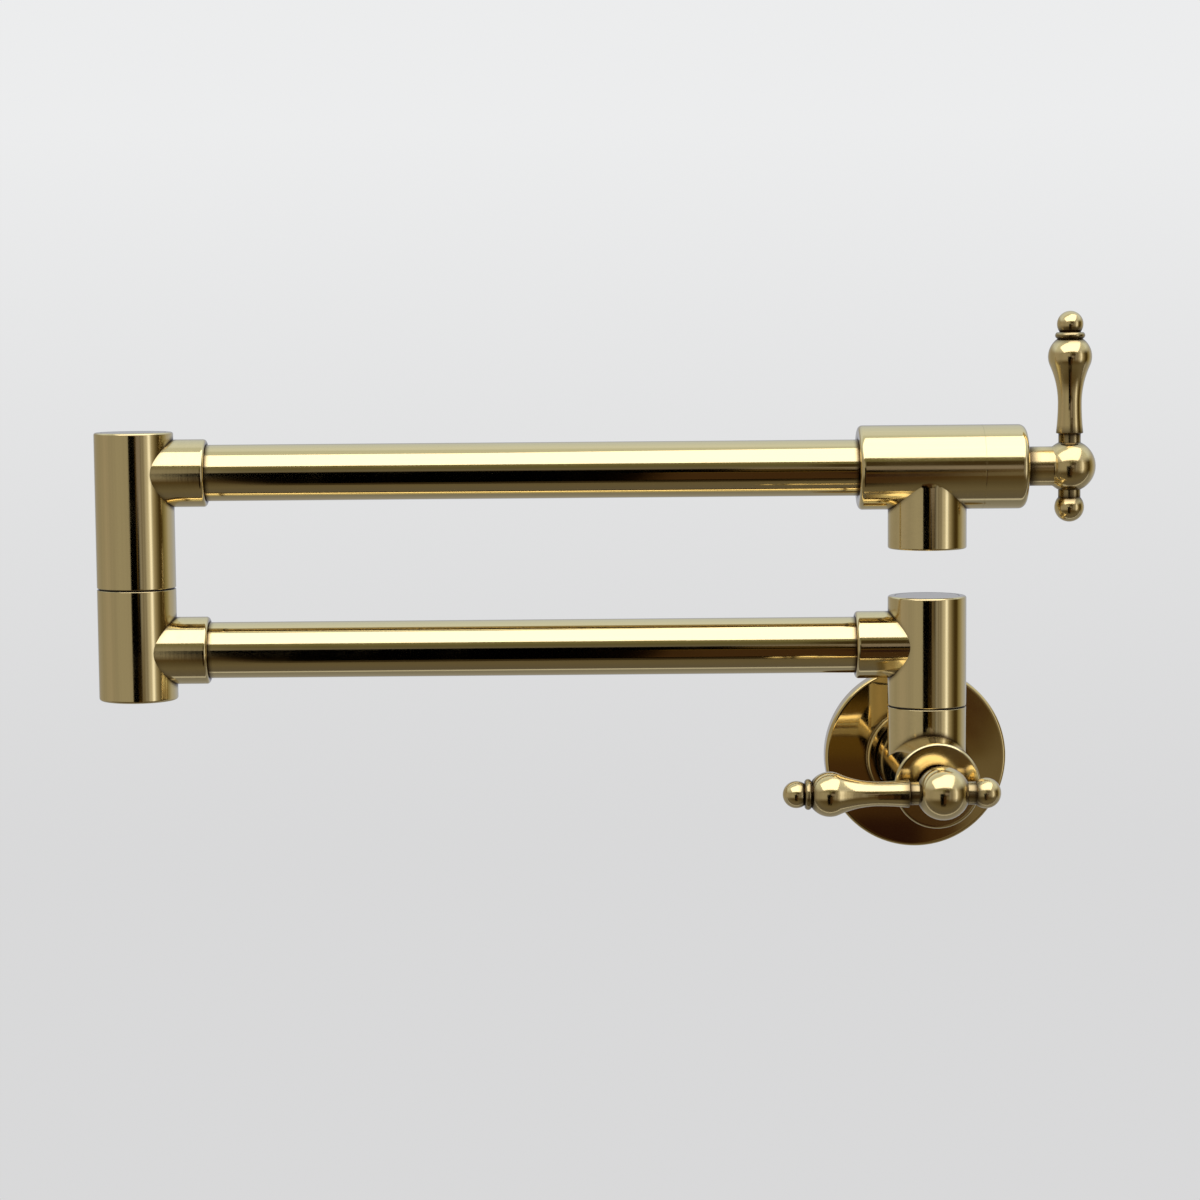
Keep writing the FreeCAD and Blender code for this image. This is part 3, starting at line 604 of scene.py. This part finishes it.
cap("riserCap", "riser_cap", riserSpot, "lower_arm", capShape)
cap("elbowCap", "elbow_cap", elbowSpot, "upper_arm", capShape)

tubeShape = {"wall": 1.2, "endBreak": 0.15, "spacing": 20.0}


# plain tube between its two sockets
def armTube(name, node, body, shape):
    start, end, edge = low(node).x, high(node).x, shape["endBreak"]
    inner = tubeRadius - shape["wall"]
    middle = (low(node) + high(node)) / 2
    piece = turned(name, [(inner, start, edge), (tubeRadius, start, edge), (tubeRadius, end, edge),
                          (inner, end, edge)], (0, middle.y, middle.z), right, "tube", closed=True,
                   spacing=shape["spacing"])
    finish(piece, tubeGold, body, node)


armTube("lowerArmTube", "lower_tube", "lower_arm", tubeShape)
armTube("upperArmTube", "upper_tube", "upper_arm", tubeShape)
print("tubes turned")


valveShape = {
    "seamBreak": 0.05, "wallBreak": 0.25, "passage": 6.0, "cavity": 9.5, "cavityBack": 8.0, "chamber": 11.0,
    "chamberBack": 4.5, "chamberFront": 7.5, "ledge": 14.0, "threadBore": 12.0, "inlet": 9.3,
    "inletDepth": 15.0, "threadPitch": 1.814, "threadDeep": 0.95, "threadLead": 1.6, "threadRings": 66,
}


# the cartridge's bores, from the passage at the back to past the bonnet's thread
def cavityOutline(shape, back, seam):
    return [(0, back), (shape["passage"], back), (shape["passage"], -shape["cavityBack"]),
            (shape["cavity"], -shape["cavityBack"]), (shape["cavity"], -shape["chamberBack"]),
            (shape["chamber"], -shape["chamberBack"]), (shape["chamber"], shape["chamberFront"]),
            (shape["cavity"], shape["chamberFront"]), (shape["cavity"], shape["ledge"]),
            (shape["threadBore"], shape["ledge"]), (shape["threadBore"], seam + past), (0, seam + past)]


# the inlet's female thread: a helical vee that fades out at both ends
def inletCutter(shape, port):
    start, pitch = -standoff + shape["threadLead"], shape["threadPitch"]
    end, mouth = -standoff + shape["inletDepth"], shape["inlet"] + shape["threadLead"] + past

    def thread(h, turn):
        wave = abs(((h / pitch - turn / fullTurn) % 1) * 2 - 1)
        fade = min(1, max(0, (h - start) / pitch)) * min(1, max(0, (end - past - h) / pitch))
        return shape["threadDeep"] * wave * fade

    wall = [(shape["inlet"], start + (end - start) * k / shape["threadRings"])
            for k in range(shape["threadRings"] + 1)]
    return turned("inlet", [(0, -standoff - past), (mouth, -standoff - past)] + wall + [(0, end)],
                  port, outward, "inlet", thread=thread)


# round body out of the wall, with the branch for the riser's post; heights are from the branch's axis
def wallValveBody(shape):
    node = "wall_valve_body"
    seam, branchTop = -low(node).y - standoff, high(node).z
    port = (0, -standoff, 0)
    piece = turned("wallValveBody", [(0, -standoff), (bodyRadius, -standoff, shape["wallBreak"]),
                                     (bodyRadius, seam, shape["seamBreak"]), (0, seam)], port, outward)
    join(piece, turned("branch", [(0, 0), (barrelRadius, 0),
                                  (barrelRadius, branchTop, barrelShape["seamRound"]), (0, branchTop)],
                       port, up, "branch"))
    cut(piece, turned("bores", cavityOutline(shape, -standoff + shape["inletDepth"] - past, seam),
                      port, outward, "bore"))
    cut(piece, inletCutter(shape, port))
    cut(piece, turned("post", postBores(0, branchTop, barrelShape), port, up, "post"))
    finish(piece, satin["Y"], "wall_body", node)


spoutShape = {"socketDepth": 8.0, "outletStart": 7.5, "outletBore": 8.0, "aeratorBore": 11.03,
              "aeratorSeat": 18.2, "mouthBreak": 0.4, "backRound": 1.6, "lipRound": 0.7, "lipBreak": 0.4}


# round body at the upper tube's end, with the outlet hanging from it
def spoutBody(valve, shape):
    node = "spout_body"
    back, seam = low(node).x, high(node).x
    lip = upperArmZ - low(node).z
    port = (0, -standoff, upperArmZ)
    piece = turned("spoutBody", [(0, back), (bodyRadius, back, shape["backRound"]),
                                 (bodyRadius, seam, valve["seamBreak"]), (0, seam)], port, right)
    join(piece, turned("outlet", [(0, 0), (barrelRadius, 0), (barrelRadius, lip, shape["lipRound"]),
                                  (0, lip)], port, down, "branch"))
    deep, mouth, hole = back + shape["socketDepth"], shape["mouthBreak"], tubeRadius + solderGap
    cut(piece, turned("bores", cavityOutline(valve, deep - past, seam), port, right, "bore"))
    cut(piece, turned("socket", [(0, back - past), (hole + mouth + past, back - past), (hole, back + mouth),
                                 (hole, deep), (0, deep)], port, right, "socket"))
    start, seat, bore, edge = (shape[k] for k in ("outletStart", "aeratorSeat", "aeratorBore", "lipBreak"))
    cut(piece, turned("drain", [(0, start), (shape["outletBore"], start), (shape["outletBore"], seat),
                                (bore, seat), (bore, lip - edge), (bore + edge + past, lip + past),
                                (0, lip + past)], port, down, "drain"))
    finish(piece, satin["X"], "upper_arm", node)


wallValveBody(valveShape)
spoutBody(valveShape, spoutShape)

bonnetShape = {"stemBore": 7.15, "spigot": 11.97, "spigotStart": 16.0, "spigotBreak": 0.2, "boreBreak": 0.35,
               "spigotLength": high("spout_body").x - low("spout_bonnet_cap").x,
               "wallFaceRound": 0.9, "spoutFaceRound": 2.6}


# screwed front of a valve body, with its threaded spigot inside
def bonnetCap(name, node, port, axis, body, faceRound, shape, material):
    if axis == right:
        rear, face = low(node).x, high(node).x
    else:
        rear, face = -high(node).y - standoff, -low(node).y - standoff
    seam = rear + shape["spigotLength"]
    piece = turned(name, [(shape["stemBore"], shape["spigotStart"]),
                          (shape["spigot"], shape["spigotStart"], shape["spigotBreak"]),
                          (shape["spigot"], seam), (bodyRadius, seam, valveShape["seamBreak"]),
                          (bodyRadius, face, faceRound), (shape["stemBore"], face, shape["boreBreak"])],
                   port, axis, closed=True)
    finish(piece, material, body, node)


bonnetCap("wallBonnetCap", "wall_bonnet_cap", (0, -standoff, 0), outward, "wall_body",
          bonnetShape["wallFaceRound"], bonnetShape, satin["Y"])
bonnetCap("spoutBonnetCap", "spout_bonnet_cap", (0, -standoff, upperArmZ), right, "upper_arm",
          bonnetShape["spoutFaceRound"], bonnetShape, satin["X"])
print("valve bodies turned")


hubShape = {"ball": 9.25, "stem": 7.0, "bore": 3.93, "boreEnd": 4.0, "seat": 7.2, "neck": 3.98, "stud": 2.53,
            "studDepth": 2.0, "seatClear": 12.0, "boreBreak": 0.15, "stemBreak": 0.25,
            "filletReach": 0.25, "filletRise": 0.06, "filletTurn": 2.0}


# ball on its stem, bored for the spindle and spot-faced for lever and finial
def handleHub(name, node, centre, axis, body, shape):
    ball, stem, bore = shape["ball"], shape["stem"], shape["bore"]
    rear = (low(node).x - centre[0]) if axis == right else -(high(node).y - centre[1])
    meets = -math.sqrt(ball ** 2 - stem ** 2)
    startAngle = 180 - math.degrees(math.asin(stem / ball)) - shape["filletTurn"]
    outline = [(0, shape["boreEnd"]), (bore, shape["boreEnd"]), (bore, rear, shape["boreBreak"]),
               (stem, rear, shape["stemBreak"]), (stem, meets - shape["filletReach"]),
               (stem + shape["filletRise"], meets)]
    piece = turned(name, outline + ballPoints(ball, 0, startAngle, 0, arcSteps["bulb"]), centre, axis)
    stud, neck, seat, deep, clear = (shape[k] for k in ("stud", "neck", "seat", "studDepth", "seatClear"))
    for way in (up, down) if axis == right else (left, right):
        cut(piece, turned("seat", [(0, deep), (stud, deep), (stud, seat), (neck, seat), (neck, clear),
                                   (0, clear)], centre, way, "seat"))
    finish(piece, handleGold, body, node)


leverShape = {                         # heights are from the middle of the hub's ball
    "stud": 2.5, "studFoot": 4.2, "studBreak": 0.2, "seat": 7.2, "neck": 3.95, "neckFillet": 0.25,
    "base": 11.6, "baseRadius": 4.85, "baseRound": 0.35, "waist": 22.3, "waistRadius": 4.2,
    "bulb": 38.8, "bulbRadius": 7.75, "throat": 4.6, "throatLand": 0.16, "bead": 2.2, "beadRadius": 5.3,
    "tipNeck": 3.8, "tipRise": 2.9, "tipRadius": 4.65,
    "flareShare": 0.93, "sweepFrom": 0.04, "sweepTo": 0.98,      # what is drawn of the two hollow curves
}


# hollow curves from the foot to the waist and into the bulb, then throat, bead and tip ball
def lever(name, node, centre, way, body, shape):
    waist, waistR, base, neck = shape["waist"], shape["waistRadius"], shape["base"], shape["neck"]
    spread, rise = shape["baseRadius"] - waistR, waist - base
    flare = (rise ** 2 + spread ** 2) / (2 * spread)
    footTurn = math.degrees(math.asin(rise / flare))
    bulb, bulbR, throat = shape["bulb"], shape["bulbRadius"], shape["throat"]
    climb, spread = bulb - waist, bulbR - waistR
    sweep = (climb ** 2 + spread ** 2) / (2 * spread) - bulbR
    meetTurn = math.degrees(math.asin(climb / (sweep + bulbR)))
    throatTurn = math.degrees(math.acos(throat / bulbR))
    beadLow = bulb + math.sqrt(bulbR ** 2 - throat ** 2) + shape["throatLand"]
    beadHigh = beadLow + shape["bead"]
    half, bulge = shape["bead"] / 2, shape["beadRadius"] - throat
    beadR = (half ** 2 + bulge ** 2) / (2 * bulge)
    beadTurn = math.degrees(math.asin(half / beadR))
    tipR = shape["tipRadius"]
    tipTurn = 180 - math.degrees(math.asin(shape["tipNeck"] / tipR))
    outline = [(0, shape["studFoot"]), (shape["stud"], shape["studFoot"], shape["studBreak"]),
               (shape["stud"], shape["seat"]), (neck, shape["seat"]), (neck, base - shape["neckFillet"]),
               (neck + shape["neckFillet"], base), (shape["baseRadius"], base, shape["baseRound"])]
    outline += arcBetween(flare, (waistR + flare, waist), 180 + footTurn * shape["flareShare"], 180,
                          arcSteps["curve"])
    outline += arcBetween(sweep, (waistR + sweep, waist), 180 - meetTurn * shape["sweepFrom"],
                          180 - meetTurn * shape["sweepTo"], arcSteps["curve"])
    outline += arcBetween(bulbR, (0, bulb), -meetTurn, throatTurn, arcSteps["bulb"])
    outline.append((throat, beadLow))
    outline += arcBetween(beadR, (shape["beadRadius"] - beadR, (beadLow + beadHigh) / 2), -beadTurn, beadTurn,
                          arcSteps["bead"])
    outline.append((shape["tipNeck"], beadHigh))
    outline += ballPoints(tipR, beadHigh + shape["tipRise"], tipTurn, 0, arcSteps["ball"])
    finish(turned(name, outline, centre, way, "lever"), handleGold, body, node)


finialShape = {"stud": 2.5, "studFoot": 3.92, "seat": 7.2, "neck": 3.95, "ball": 14.6, "ballRadius": 5.25}


# short ball across the hub from the lever
def finial(name, node, centre, way, body, shape):
    ballR, neck, stud, foot, seat = (shape[k] for k in ("ballRadius", "neck", "stud", "studFoot", "seat"))
    startAngle = 180 - math.degrees(math.asin(neck / ballR))
    outline = [(0, foot), (stud, foot), (stud, seat), (neck, seat)]
    outline += ballPoints(ballR, shape["ball"], startAngle, 0, arcSteps["ball"])
    finish(turned(name, outline, centre, way, "finial"), handleGold, body, node)


for side, hub, axis, leverWay, body in (("wall", wallHub, outward, left, "wall_handle"),
                                        ("spout", spoutHub, right, up, "spout_handle")):
    centre = tuple(hub / mm)
    handleHub(side + "HandleHub", side + "_handle_hub", centre, axis, body, hubShape)
    lever(side + "Lever", side + "_lever", centre, leverWay, body, leverShape)
    finial(side + "Finial", side + "_finial", centre, -leverWay, body, finialShape)
print("handles turned")


flangeShape = {"wall": 1.5, "depth": 8.0, "rimRound": 1.2, "boss": 18.0, "bossRise": 3.0, "bossRound": 0.7,
               "footRound": 0.5, "bore": 15.2, "boreBreak": 0.35, "hubWall": 1.8, "hubDepth": 6.5,
               "backBreak": 0.2, "groove": 16.35, "grooveLow": 6.65, "grooveHigh": 8.85}


# hollow round plate with a raised boss, and a groove in its bore for the ring that grips the body
def wallFlange(shape):
    node = "wall_flange"
    outer, bore = (high(node).z - low(node).z) / 2, shape["bore"]
    face, top = shape["depth"], shape["depth"] + shape["bossRise"]
    inside, hubR, hubFoot = face - shape["wall"], bore + shape["hubWall"], top - shape["hubDepth"]
    outline = [(outer - shape["wall"], 0, shape["backBreak"]), (outer, 0, shape["backBreak"]),
               (outer, face, shape["rimRound"]), (shape["boss"], face, shape["footRound"]),
               (shape["boss"], top, shape["bossRound"]), (bore, top, shape["boreBreak"]),
               (bore, shape["grooveHigh"]), (shape["groove"], shape["grooveHigh"]),
               (shape["groove"], shape["grooveLow"]), (bore, shape["grooveLow"]),
               (bore, hubFoot), (hubR, hubFoot), (hubR, inside), (outer - shape["wall"], inside)]
    piece = turned("wallFlange", outline, (0, 0, 0), outward, "flange", closed=True)
    finish(piece, mirrorGold, "wall_body", node)


wallFlange(flangeShape)
print("flange turned")


# the solids that show as they are
endings = {"_post": machined["Z"], "wall_spindle": machined["Y"], "spout_spindle": machined["X"],
           "wall_cartridge_shell": machined["Y"], "spout_cartridge_shell": machined["X"],
           "aerator_housing": palePlastic, "aerator_screen": palePlastic, "aerator_washer": sealRubber,
           "seals": sealRubber, "seal": sealRubber, "o_ring": sealRubber, "seat_washer": sealRubber,
           "disc": ceramic, "snap_ring": springSteel, "thrust_washer": darkNylon}
for name, node in sorted(frame["nodes"].items()):
    if not node.hide_render:
        node.data.materials.clear()
        node.data.materials.append(next(m for ending, m in endings.items() if name.endswith(ending)))
print("inner pieces finished")


warmTakes = (0.0, 0.3, 0.7)            # what full warmth takes from red, green and blue


# a tone of the room; warm draws it towards brown
def grey(value, warm=0.0):
    return tuple(value * (1 - taken * warm) for taken in warmTakes)


studio = {
    "floor": -450.0, "flat": (0, 600, 1300), "floorRadius": 2300.0, "cove": 1200.0, "coveSteps": 12,
    "around": 96, "wallTop": 3200.0, "low": (0.69, 0.69, 0.695), "high": (0.84, 0.845, 0.85),
    # the floor glows, and its tone lightening upward is painted light
    "fade": (-0.47, 0.45),             # heights in m between which the floor's tone lightens
    "window": [(-1250, -1500), (1050, -1500), (1050, 300), (150, -10), (-200, -270), (-1250, -330)],
    "windowFront": -1500, "windowFoot": 900, "windowRun": 3,      # it rises by one in this many
    "windowColour": (1.0, 0.98, 0.96), "windowStrength": 2.0,
    "cards": {                         # left, right, low, high, how far in front, colour
        "darkFlag": (-475, 190, -1300, 155, 1500, (0, 0, 0)),
        "flagFoot": (-475, 190, -1720, -1300, 1500, (0.035, 0.025, 0.012)),
        "flagEdge": (-475, -445, -1300, -130, 1498, (0.045, 0.030, 0.016)),
        "amberTop": (8, 95, -60, 120, 1498, (0.075, 0.048, 0.014)),
        "amberHigh": (-60, 200, -215, -165, 1492, (0.095, 0.056, 0.011)),
        "amberLow": (-60, 200, -1150, -215, 1492, (0.055, 0.028, 0.011)),
        "umberFoot": (104, 166, -480, -266, 1488, (0.019, 0.007, 0.006)),
        "umberHigh": (200, 225, -203, -110, 1488, (0.050, 0.0225, 0.0124)),
        "umberMiddle": (200, 225, -216, -203, 1488, (0.090, 0.064, 0.0225)),
        "umberEdge": (225, 240, -206, -110, 1488, (0.105, 0.078, 0.026)),
        "olivePanel": (200, 460, -480, -110, 1492, (0.160, 0.135, 0.090)),
        "railEnd": (8, 95, 120, 246, 1496, (0.200, 0.175, 0.150)),
        "lightRail": (95, 420, 10, 246, 1496, (0.235, 0.206, 0.190)),
        "darkShelf": (70, 600, 277, 582, 1494, (0.045, 0.030, 0.010)),
    },
}


# a piece of the set from points in mm, with an empty material; for the camera alone or for all but the camera
def setPiece(name, finishName, points, faces, forCamera):
    mesh = bpy.data.meshes.new(name)
    mesh.from_pydata([tuple(c * mm for c in point) for point in points], [], faces)
    thing = bpy.data.objects.new(name, mesh)
    bpy.context.scene.collection.objects.link(thing)
    material = bpy.data.materials.new(finishName)
    material.use_nodes = True
    material.node_tree.nodes.clear()
    mesh.materials.append(material)
    thing.visible_camera = forCamera
    thing.visible_glossy = thing.visible_diffuse = thing.visible_shadow = not forCamera
    return mesh, material.node_tree


def shaderMix(tree, share, first, second):
    node = addNode(tree, "MixShader")
    for slot, socket in enumerate((share, first, second)):
        tree.links.new(socket, node.inputs[slot])
    return node.outputs[0]


# pale floor that sweeps up all round, seen only from inside; it glows, with painted light that is darker at
# the floor and lighter up the sweep
def makeCove(look):
    floor, cove, steps, around = (look[k] for k in ("floor", "cove", "coveSteps", "around"))
    outline = [(r, floor) for r in look["flat"]]
    for k in range(steps + 1):
        turn = math.radians(90 * k / steps)
        outline.append((look["floorRadius"] + cove * math.sin(turn), floor + cove * (1 - math.cos(turn))))
    outline.append((look["floorRadius"] + cove, look["wallTop"]))
    turns = [fullTurn * k / around for k in range(around)]
    points = [(r * math.cos(turn), r * math.sin(turn), h) for r, h in outline for turn in turns]
    faces = []
    for i in range(len(outline) - 1):
        for k in range(around):
            n = (k + 1) % around
            faces.append((i * around + n, i * around + k, (i + 1) * around + k, (i + 1) * around + n))
    mesh, tree = setPiece("floorCove", "paleFloor", points, faces, True)
    mesh.shade_smooth()
    link = tree.links.new
    split = addNode(tree, "SeparateXYZ")
    link(addNode(tree, "TexCoord").outputs["Object"], split.inputs[0])
    bottom, top = look["fade"]
    climb = ranged(tree, split.outputs["Z"], {"From Min": bottom, "From Max": top})
    glow = addNode(tree, "Emission")
    link(mixed(tree, climb, look["low"], look["high"]), glow.inputs["Color"])
    behind = addNode(tree, "NewGeometry").outputs["Backfacing"]
    shown = shaderMix(tree, behind, glow.outputs[0], addNode(tree, "BsdfTransparent").outputs[0])
    link(shown, addNode(tree, "OutputMaterial").inputs["Surface"])


# a flat studio card from its corners in mm
def card(name, corners, colour, strength=1.0):
    tree = setPiece(name, name, corners, [range(len(corners))], False)[1]
    glow = addNode(tree, "Emission", {"Color": (*colour, 1), "Strength": strength})
    tree.links.new(glow.outputs[0], addNode(tree, "OutputMaterial").inputs["Surface"])


# stops are (angle, (r, g, b)); 0 is straight out of the wall, 90 is up or to the right, 180 is behind
room = {
    "over": [
        (-180, grey(.40)), (-140, grey(.30)), (-104, grey(.22)), (-101, grey(.55)), (-97, grey(.55)),
        (-94, grey(.12, .3)), (-60, (.14, .12, .08)), (-40, (.10, .08, .045)), (-20, (.085, .052, .014)),
        (-5, (.085, .052, .014)), (2, (.06, .04, .015)), (5, (.15, .14, .12)), (10, (.13, .12, .08)),
        (17, (.12, .11, .055)), (28, (.20, .19, .10)), (32, grey(.5)), (86, (.62, .66, .63)),
        (97, (.60, .65, .63)), (103, (.70, .77, .82)), (109, (.72, .79, .84)), (126, (.66, .74, .82)),
        (150, (.58, .65, .73)), (180, grey(.42))],
    "round": [
        (-180, (.43, .46, .55)), (-140, (.34, .32, .27)), (-110, (.31, .29, .235)), (-85, (.36, .33, .275)),
        (-60, (.31, .29, .24)), (-38, (.35, .33, .27)), (-13, (.33, .31, .255)), (1, (.29, .27, .22)),
        (5, grey(.20)), (8.5, (.17, .14, .10)), (12, (.10, .075, .04)), (16.5, grey(.05, .6)),
        (21, (.24, .23, .21)), (24, (.30, .28, .25)), (27, (.17, .15, .12)), (31, (.28, .26, .22)),
        (35, (.22, .20, .16)), (40, (.45, .43, .38)), (47, (.55, .52, .45)),
        (50, grey(.9)), (53.6, grey(1.25)), (57, grey(.8)), (60, (.45, .42, .34)), (66, (.30, .26, .18)),
        (74, (.14, .115, .06)), (82, (.055, .037, .012)), (92, (.055, .035, .008)), (100, (.22, .19, .09)),
        (110, (.32, .29, .19)), (120, (.42, .41, .38)), (150, (.43, .46, .55)), (180, (.43, .46, .55))],
    "left": (0.115, 0.03), "right": (0.10, 0.10), "level": (0.22, 0.25),      # a blend's start and width
    "seen": studio["high"],            # what the camera sees past the cove
}


# colour by the share of a full turn, from behind through the front
def ramp(tree, share, stops):
    node = addNode(tree, "ValToRGB")
    elements = node.color_ramp.elements
    while len(elements) > 1:
        elements.remove(elements[0])
    for i, (angle, colour) in enumerate(stops):
        spot = (angle + 180) / 360
        element = elements[0] if i == 0 else elements.new(spot)
        element.position, element.color = spot, (*colour, 1)
    tree.links.new(share, node.inputs[0])
    return node.outputs[0]


# soft room light for everything but the camera: one run of tones over the top, one round the horizon
def makeRoom(look):
    world = bpy.data.worlds.new("softRoom")
    bpy.context.scene.world = world
    world.use_nodes = True
    tree = world.node_tree
    tree.nodes.clear()
    link = tree.links.new
    split = addNode(tree, "SeparateXYZ")
    link(addNode(tree, "TexCoord").outputs["Generated"], split.inputs[0])
    x, y, z = split.outputs
    front = maths(tree, "MULTIPLY", y, -1.0)

    def turnShare(side):
        turn = maths(tree, "ARCTAN2", side, front)
        return maths(tree, "DIVIDE", maths(tree, "ADD", turn, math.pi), fullTurn)

    def beyond(value, start, width):   # from 0 at start to 1 past its width
        return maths(tree, "DIVIDE", maths(tree, "SUBTRACT", value, start), width, clamp=True)

    over, roundAbout = ramp(tree, turnShare(z), look["over"]), ramp(tree, turnShare(x), look["round"])
    toLeft = beyond(maths(tree, "MULTIPLY", x, -1.0), *look["left"])
    sideways = maths(tree, "MAXIMUM", toLeft, beyond(x, *look["right"]))
    level = maths(tree, "SUBTRACT", 1.0, beyond(maths(tree, "ABSOLUTE", z), *look["level"]))
    aside = maths(tree, "MAXIMUM", sideways, maths(tree, "LESS_THAN", front, 0.0))
    light = addNode(tree, "Background")
    link(mixed(tree, maths(tree, "MULTIPLY", aside, level), over, roundAbout), light.inputs["Color"])
    seen = addNode(tree, "Background", {"Color": (*look["seen"], 1)})
    toCamera = addNode(tree, "LightPath").outputs["Is Camera Ray"]
    shown = shaderMix(tree, toCamera, light.outputs[0], seen.outputs[0])
    link(shown, addNode(tree, "OutputWorld").inputs["Surface"])


makeCove(studio)
for name, (start, end, bottom, top, ahead, colour) in studio["cards"].items():
    corners = ((start, bottom), (end, bottom), (end, top), (start, top))
    card(name, [(x, -ahead, z) for x, z in corners], colour)
card("windowPanel", [(x, y, studio["windowFoot"] + (y - studio["windowFront"]) / studio["windowRun"])
                     for x, y in studio["window"]], studio["windowColour"], studio["windowStrength"])
makeRoom(room)
bpy.context.scene.view_settings.view_transform = "Standard"
bpy.context.scene.view_settings.look = "None"
print("studio lit")
